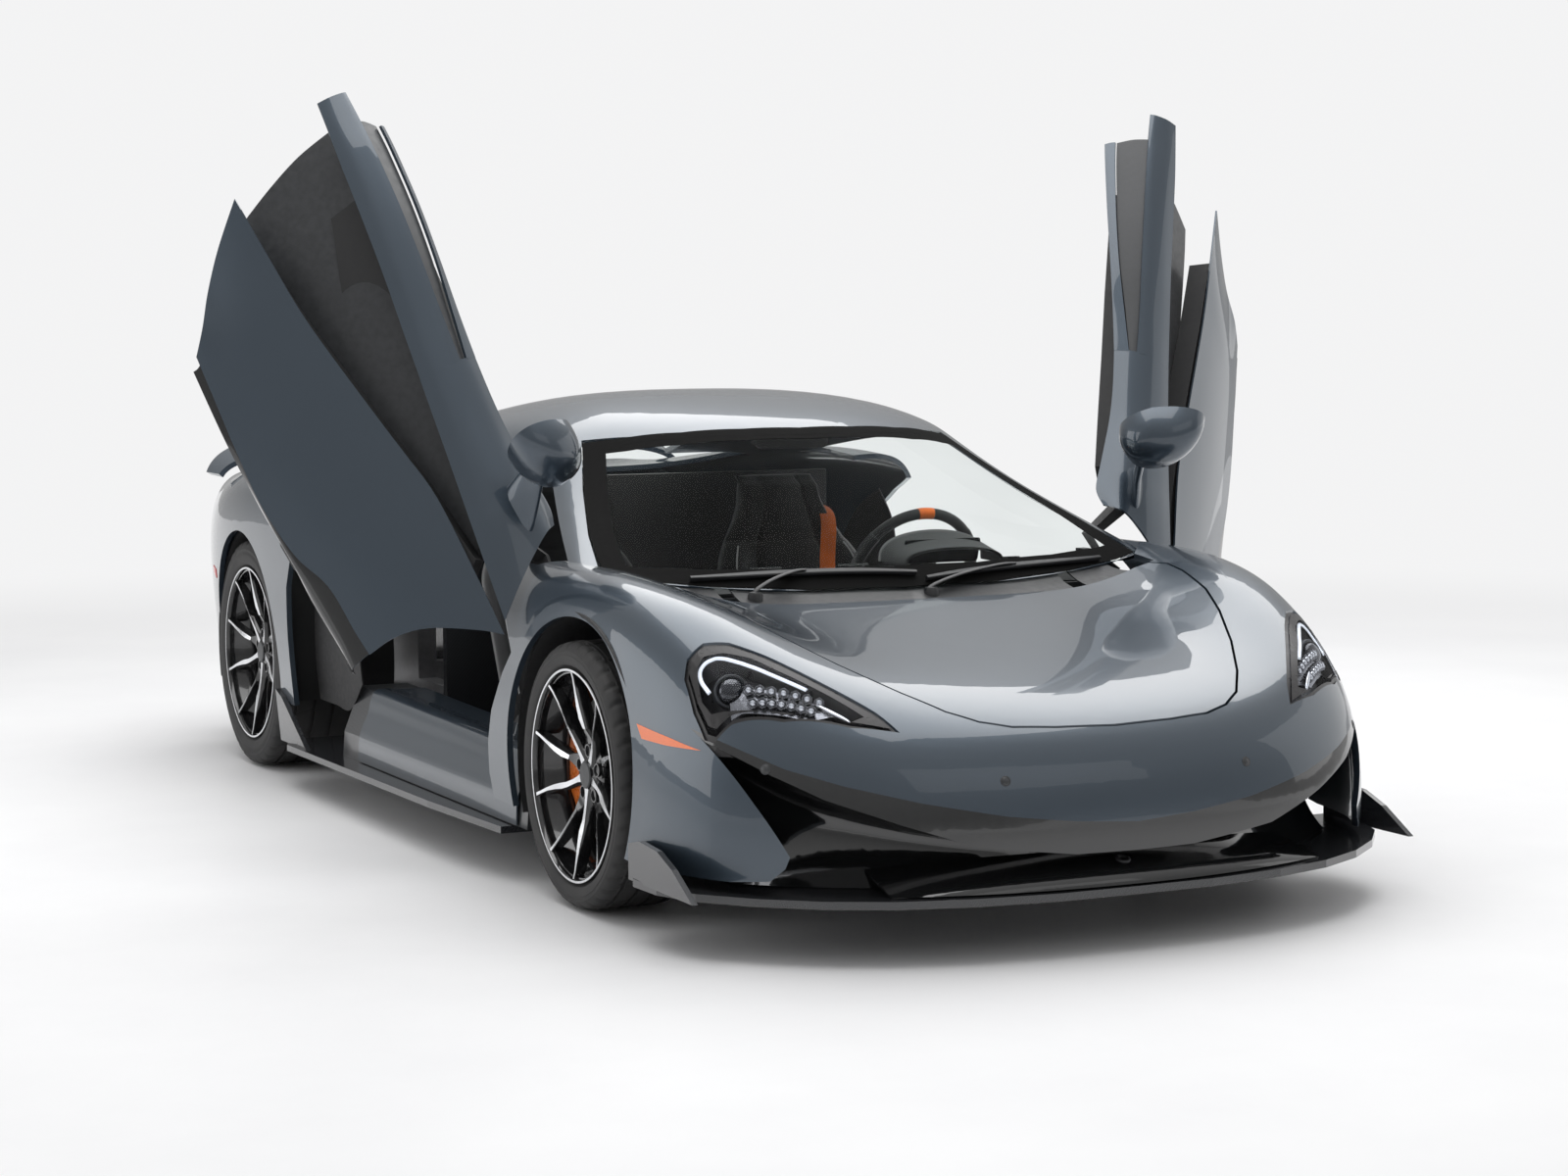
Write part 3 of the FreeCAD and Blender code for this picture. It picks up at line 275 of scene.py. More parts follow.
def pair(name, mesh, mats, slot, body="chassis", place=flipped, stands_for="", **more):
    """Left and right piece from the left one's mesh. {} in the names is the side, and place moves the points."""
    for side_name, side in SIDES:
        piece("%s_%s" % (name, side_name), (place(mesh[0], side), turn_faces(mesh[1], side)), mats,
              slot, body.format(side_name), stands_for=stands_for.format(side_name), **more)


def grid_faces(rows, cols, closed_rows=False, closed_cols=False, base=0):
    faces = []
    for i in range(rows if closed_rows else rows - 1):
        for j in range(cols if closed_cols else cols - 1):
            a = base + i * cols + j
            b = base + i * cols + (j + 1) % cols
            c = base + ((i + 1) % rows) * cols + (j + 1) % cols
            d = base + ((i + 1) % rows) * cols + j
            faces.append((a, b, c, d))
    return faces


def doubled(faces, count):
    """Faces of a sheet, of its underside count points further on, and of the rim that joins them."""
    directed = {(f[i], f[(i + 1) % len(f)]) for f in faces for i in range(len(f))}
    return (faces + [tuple(i + count for i in f[::-1]) for f in faces]
            + [(b, a, a + count, b + count) for a, b in sorted(directed) if (b, a) not in directed])


# Places are given as half width, station along the car and height in millimetres, doors shut
STATION_SHIFT = -37.0
HINGE_POINT = Vector((0.788, -0.872, 0.721))
HINGE_AXIS = Vector((0.672, -0.419, -0.61)).normalized()
DOOR_OPEN = math.radians(71.4)


def at(x, s, z):
    return Vector((x, s + STATION_SHIFT, z)) / 1000.0


def line_of(points):
    return [at(*p) for p in points]


def tree_of(*names):
    """Rays can be cast at the named nodes through this."""
    verts, polys = [], []
    for name in names:
        obj = nodes[name]
        base = len(verts)
        verts += [obj.matrix_world @ v.co for v in obj.data.vertices]
        polys += [tuple(base + i for i in poly.vertices) for poly in obj.data.polygons]
    return BVHTree.FromPolygons(verts, polys)


def dropped(tree, point, way, lift):
    """The first surface met from far against the way, raised by the lift; the nearest one if none is met."""
    way = Vector(way).normalized()
    hit, normal, _, _ = tree.ray_cast(point + way * 4.0, -way)
    if hit is None:
        hit, normal, _, _ = tree.find_nearest(point + way * 0.9)
    if normal.dot(way) < 0:
        normal = -normal
    return hit + normal * lift, normal


def smooth_path(points, steps=6):
    """Curve through the points."""
    out = []
    count = len(points)
    for i in range(count - 1):
        p0, p1, p2 = points[max(i - 1, 0)], points[i], points[i + 1]
        p3 = points[min(i + 2, count - 1)]
        for k in range(steps):
            u = k / steps
            out.append(0.5 * ((2 * p1) + (p2 - p0) * u + (2 * p0 - 5 * p1 + 4 * p2 - p3) * u * u
                              + (3 * p1 - p0 - 3 * p2 + p3) * u ** 3))
    out.append(points[-1])
    return out


def pipe(path, radius, segs=10, flat=1.0, up=(0, 0, 1)):
    """Round or flattened bar along a path, with closed ends."""
    verts, faces = [], []
    for i, p in enumerate(path):
        along = (path[min(i + 1, len(path) - 1)] - path[max(i - 1, 0)]).normalized()
        side_way = along.cross(Vector(up))
        side_way = side_way.normalized() if side_way.length > 1e-6 else along.orthogonal().normalized()
        rise = side_way.cross(along)
        for k in range(segs):
            a = math.tau * k / segs
            verts.append(p + side_way * math.cos(a) * radius + rise * math.sin(a) * radius * flat)
    faces = grid_faces(len(path), segs, False, True)
    faces.append(tuple(range(segs))[::-1])
    faces.append(tuple(range((len(path) - 1) * segs, len(path) * segs)))
    return verts, faces


def ribbon(path, ways, width, thick, crown=0.0):
    """Flat strip along a path; ways holds the outward direction at each point."""
    verts = []
    for i, p in enumerate(path):
        along = (path[min(i + 1, len(path) - 1)] - path[max(i - 1, 0)]).normalized()
        out = ways[i].normalized()
        across = along.cross(out).normalized()
        half = (width[i] if isinstance(width, list) else width) / 2
        soft = min(half * 0.3, thick * 0.5)
        for a, h in ((-half, 0.0), (-half, thick - soft), (-half + soft, thick), (0.0, thick + crown),
                     (half - soft, thick), (half, thick - soft), (half, 0.0)):
            verts.append(p + across * a + out * h)
    faces = grid_faces(len(path), 7, False, True)
    faces.append(tuple(range(7)))
    faces.append(tuple(range((len(path) - 1) * 7, len(path) * 7))[::-1])
    return verts, faces


def laid(tree, path, way, lift):
    """Path and outward directions on the surface met along the way."""
    pairs = [dropped(tree, p, way, lift) for p in path]
    return [p for p, _ in pairs], [n for _, n in pairs]


def inside(point, outline):
    hit = False
    for i in range(len(outline)):
        (x0, y0), (x1, y1) = outline[i - 1], outline[i]
        if (y0 > point[1]) != (y1 > point[1]) and point[0] < (x1 - x0) * (point[1] - y0) / (y1 - y0) + x0:
            hit = not hit
    return hit


def sheet_over(tree, outline, hole, way, lift, pitch, flat_axes, thick=0.0012):
    """Thin sheet inside an outline, without the hole, laid on a surface. flat_axes are its two drawing axes."""
    def fine(line):
        out = []
        for i, a in enumerate(line):
            b = line[(i + 1) % len(line)]
            count = max(1, int((Vector(b) - Vector(a)).length / pitch))
            out += [tuple(Vector(a).lerp(Vector(b), k / count)) for k in range(count)]
        return out

    def kept(point):
        return inside(point, edge) and not (inner and inside(point, inner))

    edge = fine(outline)
    inner = fine(hole) if hole else []
    points = [Vector(p) for p in edge + inner]
    links = [(i, (i + 1) % len(edge)) for i in range(len(edge))]
    links += [(len(edge) + i, len(edge) + (i + 1) % len(inner)) for i in range(len(inner))]
    xs, ys = [p[0] for p in edge], [p[1] for p in edge]
    gx = min(xs) + pitch / 2
    while gx < max(xs):
        gy = min(ys) + pitch / 2
        while gy < max(ys):
            if kept((gx, gy)):
                points.append(Vector((gx, gy)))
            gy += pitch
        gx += pitch
    flat, _, tris, _, _, _ = geometry.delaunay_2d_cdt(points, links, [], 0, 1e-5)
    faces = [tuple(tri) for tri in tris if kept(sum((flat[i] for i in tri), Vector((0, 0))) / len(tri))]
    top, low = [], []
    for p in flat:
        place = Vector((0, 0, 0))
        place[flat_axes[0]], place[flat_axes[1]] = p[0], p[1]
        hit, normal = dropped(tree, place, way, lift)
        top.append(hit)
        low.append(hit - normal * thick)
    return top + low, doubled(faces, len(flat))


def turned(profile, segs, place, way):
    """Surface from radius and height pairs, turned about a line from the place along the way."""
    spin = Vector(UP).rotation_difference(Vector(way)).to_matrix()
    verts = [spin @ Vector((r * math.cos(math.tau * k / segs), r * math.sin(math.tau * k / segs), h)) + place
             for r, h in profile for k in range(segs)]
    return verts, grid_faces(len(profile), segs, False, True)


def merged(meshes):
    verts, faces = [], []
    for v, f in meshes:
        base = len(verts)
        verts += v
        faces += [tuple(i + base for i in face) for face in f]
    return verts, faces


# Wheels, drawn about the x axis with the outer face towards +x and moved to their places

def wheel_point(x, radius, degrees):
    a = math.radians(degrees)
    return Vector((x, -math.sin(a) * radius, math.cos(a) * radius))


HUB_DEPTH = 0.042
# Share of the radius, angle, place, width, depth, flare and tilt at the stations of each spoke
MAIN_SPOKE = ((1.0, 0.0, -0.004, 0.008, 0.022, 0.002, 0.0), (0.93, 0.4, -0.009, 0.0068, 0.026, 0.002, 0.0),
              (0.8, 1.0, -0.015, 0.008, 0.03, 0.003, 0.1), (0.66, 0.6, -0.02, 0.0115, 0.034, 0.003, 0.25),
              (0.54, -0.6, -0.025, 0.015, 0.036, 0.003, 0.3), (0.44, -1.6, -0.031, 0.0125, 0.034, 0.005, 0.12),
              (0.32, -1.4, -0.036, 0.012, 0.032, 0.007, 0.0), (0.22, -0.6, -0.039, 0.014, 0.03, 0.01, 0.0),
              (0.135, 0.0, -0.0405, 0.022, 0.03, 0.01, 0.0))
SIDE_SPOKE = ((1.0, 0.0, -0.004, 0.008, 0.022, 0.002, 0.0), (0.93, -0.4, -0.009, 0.0068, 0.026, 0.002, 0.0),
              (0.8, -1.6, -0.016, 0.008, 0.03, 0.003, -0.12), (0.66, -2.6, -0.023, 0.011, 0.034, 0.003, -0.3),
              (0.54, -3.0, -0.03, 0.013, 0.034, 0.004, -0.35), (0.44, -2.6, -0.038, 0.0105, 0.03, 0.006, -0.2))
SPOKE_FOOT = ((0.44, -2.4, -0.0385, 0.012, 0.03, 0.006, 0.0), (0.36, -1.0, -0.047, 0.03, 0.026, 0.006, 0.0),
              (0.28, 0.0, -0.05, 0.044, 0.026, 0.004, 0.0), (0.18, 0.0, -0.05, 0.05, 0.026, 0.002, 0.0))


def rim_mesh(outer, width):
    verts, faces, index = [], [], []
    segs = 120
    profile = [(0.001, -0.01, 1), (0.0005, -0.002, 1), (0.0015, 0.0, 0), (0.0068, 0.0, 0), (0.008, -0.0015, 1),
               (0.01, -0.01, 1), (0.013, -0.026, 1), (0.026, -0.052, 1), (0.036, -0.07, 1), (0.04, -width * 0.6, 1),
               (0.03, -width + 0.03, 1), (0.02, -width + 0.006, 1), (0.01, -width, 1), (0.002, -width, 1),
               (0.0015, -width + 0.01, 1), (0.014, -width + 0.04, 1), (0.03, -width + 0.064, 1),
               (0.03, -0.064, 1), (0.014, -0.036, 1), (0.013, -0.012, 1)]
    for drop, x, _ in profile:
        verts += [wheel_point(x, outer - drop, 360.0 * k / segs) for k in range(segs)]
    faces += grid_faces(len(profile), segs, True, True)
    for f in faces:
        row = f[0] // segs
        index.append(0 if profile[row][2] == 0 and profile[(row + 1) % len(profile)][2] == 0 else 1)

    def sweep(stations, turn_by, front=0):
        """Spoke from share of the radius, angle, place, width, depth, flare and tilt at each station."""
        base = len(verts)
        for share, deg, x, wide, deep, flare, tilt in stations:
            mid = wheel_point(x, (outer - 0.008) * share, turn_by + deg)
            a = math.radians(turn_by + deg)
            across = Vector((0, -math.cos(a), -math.sin(a)))
            lean = across * math.cos(tilt) + Vector((math.sin(tilt), 0, 0))
            back = Vector((-1, 0, 0))
            verts.extend([mid - lean * wide / 2, mid + lean * wide / 2,
                          mid + lean * (wide / 2 + 0.0012) + back * 0.0015,
                          mid + across * (wide / 2 + flare) + back * deep * 0.6,
                          mid + across * (wide / 2 + flare * 0.6) + back * deep,
                          mid - across * (wide / 2 + flare * 0.6) + back * deep,
                          mid - across * (wide / 2 + flare) + back * deep * 0.6,
                          mid - lean * (wide / 2 + 0.0012) + back * 0.0015])
        n = len(stations)
        bar = grid_faces(n, 8, False, True, base)
        faces.extend(bar + [tuple(range(base + 7, base - 1, -1)), tuple(range(base + (n - 1) * 8, base + n * 8))])
        index.extend([front if (f[0] - base) % 8 == 0 else 1 for f in bar] + [1, 1])

    def rings(centre, profile, segs, inner_from, inner):
        """Turned surface about the wheel's axis; from a row on it takes the inner material."""
        base = len(verts)
        for x, r in profile:
            verts.extend(centre + wheel_point(x, r, 360.0 * k / segs) for k in range(segs))
        part = grid_faces(len(profile), segs, False, True, base)
        faces.extend(part)
        index.extend(inner if (f[0] - base) // segs >= inner_from else 1 for f in part)

    for k in range(5):
        sweep(MAIN_SPOKE, 36.0 + 72.0 * k)
        sweep(SIDE_SPOKE, 72.0 * k)
        sweep(SPOKE_FOOT, 72.0 * k, 1)
    rings(Vector((-HUB_DEPTH, 0, 0)), [(-0.038, 0.078), (-0.012, 0.078), (-0.008, 0.07), (-0.006, 0.048),
                                       (-0.001, 0.034), (0.004, 0.033), (0.0065, 0.03), (0.0075, 0.012),
                                       (0.0077, 0.0005)], 60, 5, 2)
    for k in range(5):
        rings(wheel_point(-HUB_DEPTH - 0.0035, 0.057, 72.0 * k),
              [(-0.001, 0.0165), (0.0015, 0.016), (0.0015, 0.0135), (-0.016, 0.0125), (-0.016, 0.0085),
               (-0.006, 0.008), (-0.005, 0.0005)], 20, 2, 3)
    return (verts, faces), index


def tyre_mesh(radius, rim_radius, width):
    """Tyre with side wall ribs, four grooves round it and cuts across its shoulders."""
    half, segs = width / 2, 320
    side = radius - rim_radius
    bead = rim_radius - 0.01
    wall = [(bead, half - 0.016)]
    wall += [(rim_radius + rise, half - back) for rise, back in (
        (0.0005, 0.0145), (0.004, 0.0125), (0.006, 0.008), (0.009, 0.0045), (0.014, 0.003))]
    wall += [(rim_radius + side * share, half - back) for share, back in (
        (0.36, 0.0008), (0.48, 0.0), (0.5, 0.0012), (0.62, 0.0016), (0.64, 0.0006), (0.76, 0.004))]
    wall += [(radius - drop, half - back) for drop, back in ((0.0095, 0.0085), (0.005, 0.015), (0.0022, 0.025))]
    crown = [(radius - 0.0012, half - 0.036)]
    for c in (0.62, 0.21):
        g = half * c
        crown += [(radius - 0.0006, g + 0.0052), (radius - 0.0072, g + 0.004), (radius - 0.0072, g - 0.004),
                  (radius - 0.0004, g - 0.0052)]
    out = wall + crown
    profile = out + [(r, -x) for r, x in out[::-1]]
    profile += [(bead, -half + 0.04), (radius - 0.022, -half + 0.022), (radius - 0.022, half - 0.022),
                (bead, half - 0.04)]
    verts = []
    count = len(profile)
    for i, (r, x) in enumerate(profile):
        shoulder = len(wall) - 3 <= i <= len(wall) or count - 4 - len(wall) - 1 <= i <= count - 4 - len(wall) + 2
        for k in range(segs):
            cut = shoulder and k % 8 in (0, 1)
            rib = len(wall) < i < len(out) and k % 16 == 4 and profile[i][0] > radius - 0.002
            deep = 0.004 if cut else (0.0025 if rib else 0.0)
            verts.append(wheel_point(x, r - deep, 360.0 * k / segs + abs(x) * 60.0))
    return verts, grid_faces(count, segs, True, True)


def on_axle(y, z, shift=0.0):
    """Moves a mesh drawn about the x axis to its axle, on that side."""
    return lambda verts, side: [Vector(((v.x + shift) * side, v.y + y, v.z + z)) for v in verts]


for end, y, r, rim_r, width, face in (("front", FRONT_Y, FRONT_R, 0.256, 0.225, 0.936),
                                      ("rear", REAR_Y, REAR_R, 0.269, 0.285, 0.944)):
    mesh, index = rim_mesh(rim_r, width - 0.008)
    pair("rim_" + end, mesh, [machined, rim_black, dark_satin, satin_black], "rim", "wheel_%s_{}" % end,
         on_axle(y, r, face), end + "_{}_rim", edge=28, index=index)
    pair("tyre_" + end, tyre_mesh(r, rim_r, width), rubber, "tyre", "wheel_%s_{}" % end,
         on_axle(y, r, face + 0.004 - width / 2), end + "_{}_tyre", edge=40)


def inset(points, gap):
    """Outline moved inwards by the gap, corner by corner."""
    area = sum(points[i - 1][0] * points[i][1] - points[i][0] * points[i - 1][1] for i in range(len(points)))
    turn_way = 1.0 if area > 0 else -1.0
    out = []
    for i, b in enumerate(points):
        a, c = points[i - 1], points[(i + 1) % len(points)]
        n1 = Vector((a[1] - b[1], b[0] - a[0])).normalized() * turn_way
        n2 = Vector((b[1] - c[1], c[0] - b[0])).normalized() * turn_way
        share = max(0.4, 1.0 + n1.dot(n2))
        out.append((b[0] + gap * (n1.x + n2.x) / share, b[1] + gap * (n1.y + n2.y) / share))
    return out


def drawn(points):
    """Outline given as half width and station in millimetres, in metres of the frame."""
    return [(x / 1000, (s + STATION_SHIFT) / 1000) for x, s in points]


def drawn_side(points):
    return [((s + STATION_SHIFT) / 1000, z / 1000) for s, z in points]


def drawn_front(points):
    return [(x / 1000, z / 1000) for x, z in points]


# Doors, drawn shut and turned to the open doors

def open_door(verts, side):
    """Points of the shut left door as they lie on the open door of that side."""
    spin = Matrix.Rotation(DOOR_OPEN, 3, HINGE_AXIS)
    return flipped([spin @ (v - HINGE_POINT) + HINGE_POINT for v in verts], side)


def shut_tree(name):
    back_turn = Matrix.Rotation(-DOOR_OPEN, 3, HINGE_AXIS)
    obj = nodes[name]
    verts = [back_turn @ (obj.matrix_world @ v.co - HINGE_POINT) + HINGE_POINT for v in obj.data.vertices]
    return BVHTree.FromPolygons(verts, [tuple(poly.vertices) for poly in obj.data.polygons])


def panel(rows, thick, steps=6, out=(1, 0, 0.2)):
    """Smooth panel through rows of points, thickened away from the outward direction."""
    fine_cols = [smooth_path(list(col), steps) for col in zip(*[smooth_path(row, steps) for row in rows])]
    grid = [list(row) for row in zip(*fine_cols)]
    n, m = len(grid), len(grid[0])
    top, low = [], []
    for i in range(n):
        for j in range(m):
            along = grid[min(i + 1, n - 1)][j] - grid[max(i - 1, 0)][j]
            across = grid[i][min(j + 1, m - 1)] - grid[i][max(j - 1, 0)]
            normal = along.cross(across).normalized()
            top.append(grid[i][j])
            low.append(grid[i][j] - normal * math.copysign(thick, normal.dot(Vector(out))))
    faces = grid_faces(n, m)
    a, b, c = (top[k] for k in faces[len(faces) // 2][:3])
    return top + low, doubled(turn_faces(faces, (b - a).cross(c - b).dot(Vector(out))), n * m)


def plate(rows, thick, steps=6, out=(1, 0, 0.2)):
    return panel([line_of(row) for row in rows], thick, steps, out)


def side_rows(tree, rows, lift=0.0):
    return [[dropped(tree, at(0, s, z), LEFT, lift)[0] for s, z in row] for row in rows]


def between(first, last, count=5):
    return [(first[0] + (last[0] - first[0]) * k / (count - 1), first[1] + (last[1] - first[1]) * k / (count - 1))
            for k in range(count)]


def cut(s, *points):
    """Row of points at one station, from half widths and heights."""
    return [(x, s, z) for x, z in points]


door_shell = shut_tree("door_left_skin")
SKIN_ROWS = [[(-716, 258), (-719, 339), (-749, 423), (-823, 525), (-871, 576)], between((-646, 258), (-711, 596)),
             between((-516, 262), (-491, 617)), between((-400, 231), (-350, 609)), between((-250, 226), (-242, 601)),
             between((-100, 246), (56, 584)), between((60, 274), (250, 590)),
             [(164, 292), (215, 348), (288, 404), (360, 488), (433, 599)]]
SKIRT_ROWS = [[(-732, 148), (-718, 200), (-712, 262)], [(-646, 160), (-646, 210), (-644, 266)],
              [(-516, 176), (-516, 216), (-516, 270)], [(-400, 192), (-400, 214), (-400, 240)],
              [(-250, 209), (-250, 222), (-250, 238)], [(-60, 234), (-60, 247), (-60, 264)],
              [(140, 262), (140, 278), (150, 300)]]
FRONT_ROWS = [[(944, -842, 596), (926, -795, 660), (896, -745, 728), (858, -706, 782), (800, -688, 797)],
              cut(-640, (935, 642), (921, 696), (894, 751), (849, 790), (778, 807)),
              cut(-560, (931, 660), (917, 711), (890, 762), (846, 799), (786, 814)),
              cut(-430, (926, 690), (913, 735), (888, 781), (848, 813), (801, 827)),
              cut(-330, (924, 713), (911, 756), (886, 798), (848, 829), (806, 842)),
              cut(-219, (923, 739), (911, 780), (887, 820), (846, 850), (805, 862))]
BLADE_ROWS = [cut(-222, (923, 739), (911, 780), (887, 820), (864, 839)),
              cut(-100, (924, 768), (911, 807), (888, 847), (869, 865)),
              cut(50, (926, 805), (914, 843), (891, 881), (871, 898)),
              cut(200, (929, 838), (916, 875), (893, 911), (873, 928)),
              cut(350, (931, 869), (917, 903), (893, 936), (873, 951)),
              cut(440, (930, 888), (916, 918), (890, 949), (873, 961)),
              cut(516, (928, 903), (912, 935), (888, 960), (873, 968))]
BELT_ROWS = [cut(-222, (845, 851), (826, 857), (805, 862)), cut(-100, (829, 882), (813, 885), (797, 887)),
             cut(50, (810, 919), (798, 920), (785, 920)), cut(200, (796, 949), (783, 950), (770, 949)),
             cut(350, (785, 971), (770, 972), (755, 970)), cut(424, (781, 979), (765, 980), (748, 977))]
CHANNEL_ROWS = [cut(-640, (868, 575), (868, 605), (868, 640), (868, 668)),
                cut(-560, (868, 565), (869, 605), (869, 645), (868, 684)),
                cut(-411, (868, 565), (869, 615), (869, 665), (868, 716)),
                cut(-244, (868, 555), (869, 620), (869, 690), (868, 752)),
                cut(-100, (867, 545), (869, 625), (870, 705), (868, 786)),
                cut(56, (865, 540), (869, 640), (870, 730), (864, 822)),
                cut(200, (862, 545), (862, 650), (858, 750), (850, 852)),
                cut(330, (858, 550), (852, 660), (840, 770), (816, 880)),
                [(856, 410, 560), (848, 442, 660), (832, 470, 765), (806, 484, 868)]]
# Dark sheet just under the edges of the gap between blade and belt strip: partly the channel's real dark lining,
# partly painted shade of the deep gap below
GAP_ROWS = [cut(-240, (866, 826), (856, 833), (846, 838)), cut(-100, (869, 853), (849, 862), (829, 870)),
            cut(50, (871, 886), (841, 897), (810, 907)), cut(200, (873, 916), (835, 927), (796, 937)),
            cut(350, (873, 939), (829, 950), (785, 959)), [(873, 440, 949), (827, 440, 959), (781, 430, 967)]]


def mirror_parts():
    """Shell, glass and foot of the left door mirror with the door shut."""
    centre = at(998, -566, 928)
    rows, cols = 15, 44
    rings = []
    for i in range(rows):
        v = 0.002 + 0.998 * i / (rows - 1)
        rings.append((-0.088 + 0.118 * v, (1 - (1 - v) ** 2.4) ** 0.5))
    rings += [(0.03, 0.94), (0.02, 0.92)]
    verts = []
    for y, r in rings:
        for j in range(cols):
            a = math.tau * j / cols
            cx, cz = math.cos(a), math.sin(a)
            x = math.copysign(abs(cx) ** 0.85, cx) * r
            z = 0.082 * math.copysign(abs(cz) ** 0.9, cz) * r * (1 - 0.26 * max(0.0, x)) * (1 + 0.1 * min(0.0, x))
            verts.append(centre + Vector((0.116 * x, y + 0.014 * x, z - (0.01 * (1 - x) if cz < 0 else 0))))
    shell = (verts, grid_faces(len(rings), cols, False, True) + [tuple(range(cols))[::-1]])
    rim = verts[-cols:]
    glass = ([v + Vector((0, 0.0005, 0)) for v in rim] + [v - Vector((0, 0.003, 0)) for v in rim],
             [tuple(range(cols)), tuple(range(cols, 2 * cols))[::-1]])
    foot = []
    for x, s, z, hx, hs in ((872, -632, 738, 17, 66), (884, -618, 775, 15, 60), (898, -598, 815, 14, 48),
                            (920, -580, 855, 15, 36), (952, -570, 896, 20, 28)):
        for j in range(28):
            a = math.tau * j / 28
            depth = math.copysign(abs(math.sin(a)) ** 0.8, math.sin(a)) * hs
            foot.append(at(x, s, z) + Vector((math.cos(a) * hx, depth, 0)) / 1000)
    return shell, glass, (foot, grid_faces(5, 28, False, True) + [tuple(range(28))[::-1], tuple(range(112, 140))])


shell, pane, foot = mirror_parts()
for name, mesh, mat, slot, stands_for in (
        ("lower", panel(side_rows(door_shell, SKIN_ROWS), 0.005), paint, "paint", "skin"),
        ("skirt", panel(side_rows(door_shell, SKIRT_ROWS, -0.0055), 0.004), gloss_black, "gloss_black", ""),
        ("blade_front", plate(FRONT_ROWS, 0.007), paint, "paint", "skin"),
        ("blade", plate(BLADE_ROWS, 0.007), paint, "paint", "skin"),
        ("belt_strip", plate(BELT_ROWS, 0.007, 6, (0.1, 0, 1)), paint, "paint", "skin"),
        # Belt gap sheet: dark lining plus painted shade of the gap's depth
        ("belt_gap_lining_shade", plate(GAP_ROWS, 0.005, 6, (0.3, 0, 1)), dark_satin, "trim", ""),
        ("channel", plate(CHANNEL_ROWS, 0.004), dark_satin, "trim", ""),
        ("mirror_shell", shell, paint, "paint", "mirror"),
        ("mirror_pane", pane, mirror_glass, "paint", "mirror"),
        ("mirror_foot", foot, paint, "paint", "mirror")):
    pair("door_" + name, mesh, mat, slot, "door_{}", open_door, stands_for and "door_{}_" + stands_for, edge=40)


# Brake discs, calipers, painted sills, side ducts and the cowl

def disc_mesh(outer_x):
    """Vented disc with its hat and holes sunk in its face, about the x axis."""
    profile = [(0.05, 0.014), (0.11, 0.014), (0.118, 0.01), (0.122, 0.0), (0.186, 0.0), (0.19, -0.002),
               (0.19, -0.01), (0.182, -0.011), (0.182, -0.017), (0.19, -0.018), (0.19, -0.028),
               (0.12, -0.028), (0.11, -0.02), (0.11, 0.006), (0.05, 0.006)]
    verts = [wheel_point(outer_x + x, r, 360.0 * k / 96) for r, x in profile for k in range(96)]
    meshes = [(verts, grid_faces(len(profile), 96, True, True))]
    for ring_r, turn_by in ((0.136, 0.0), (0.152, 5.0), (0.168, 10.0)):
        for k in range(18):
            centre = wheel_point(outer_x + 0.0004, ring_r, 20.0 * k + turn_by)
            hole, sides = turned([(0.0042, 0.0), (0.0036, -0.0015), (0.0034, -0.005)], 10, centre, LEFT)
            meshes.append((hole, sides + [tuple(range(20, 30))]))
    return merged(meshes)


def caliper_mesh(outer_x, first, last):
    """Block bent round the disc from the first to the last angle."""
    section = [(0.128, 0.018), (0.15, 0.021), (0.192, 0.02), (0.206, 0.012), (0.207, -0.04), (0.196, -0.052),
               (0.15, -0.054), (0.128, -0.05), (0.128, -0.034), (0.196, -0.034), (0.196, 0.006), (0.128, 0.006)]
    steps = 18
    verts = []
    for k in range(steps + 1):
        u = k / steps
        deg = first + (last - first) * u
        swell = 1.0 + 0.1 * math.exp(-((u - 0.27) / 0.12) ** 2) + 0.1 * math.exp(-((u - 0.73) / 0.12) ** 2)
        taper = 0.6 + 0.4 * min(1.0, 6 * u, 6 * (1 - u))
        for r, x in section:
            bulge = swell * taper if x > 0.007 else 1.0
            verts.append(wheel_point(outer_x + 0.006 + (x - 0.006) * bulge, r, deg))
    n = len(section)
    faces = grid_faces(steps + 1, n, False, True) + [tuple(range(n)), tuple(range(steps * n, steps * n + n))[::-1]]
    return verts, faces


for end, y, r, outer_x, first, last, carrier in (("front", FRONT_Y, FRONT_R, 0.84, -122, -58, "knuckle_{}"),
                                                 ("rear", REAR_Y, REAR_R, 0.848, 58, 122, "chassis")):
    pair("disc_" + end, disc_mesh(outer_x), disc_metal, "steel", "wheel_%s_{}" % end, on_axle(y, r), edge=30)
    pair("caliper_" + end, caliper_mesh(outer_x, first, last), orange, "caliper", carrier, on_axle(y, r), edge=50)

SILL_ROWS = [[(906, s, 133), (902, s, 203), (876, s, 256 + (top - 306) / 2), (852, s, top), (780, s, top + 1),
              (702, s, top)]
             for s, top in ((-800, 308), (-560, 312), (-240, 319), (80, 325), (330, 331), (460, 333))]
DUCT_ROWS = [cut(530, (868, 344), (880, 480), (882, 620), (868, 760), (820, 862)),
             cut(650, (866, 256), (880, 430), (884, 600), (872, 730), (836, 826)),
             cut(780, (866, 256), (880, 400), (884, 540), (878, 660), (858, 764)),
             cut(880, (866, 256), (878, 370), (882, 480), (880, 590), (872, 682)),
             cut(940, (866, 256), (876, 340), (880, 420), (880, 500), (876, 586))]
for name, rows, mat, slot in (("sill_cover", SILL_ROWS, paint, "paint"), ("side_duct", DUCT_ROWS, trim, "trim")):
    pair(name, plate(rows, 0.004, 5, (1, 0, 0.6)), mat, slot, edge=40)

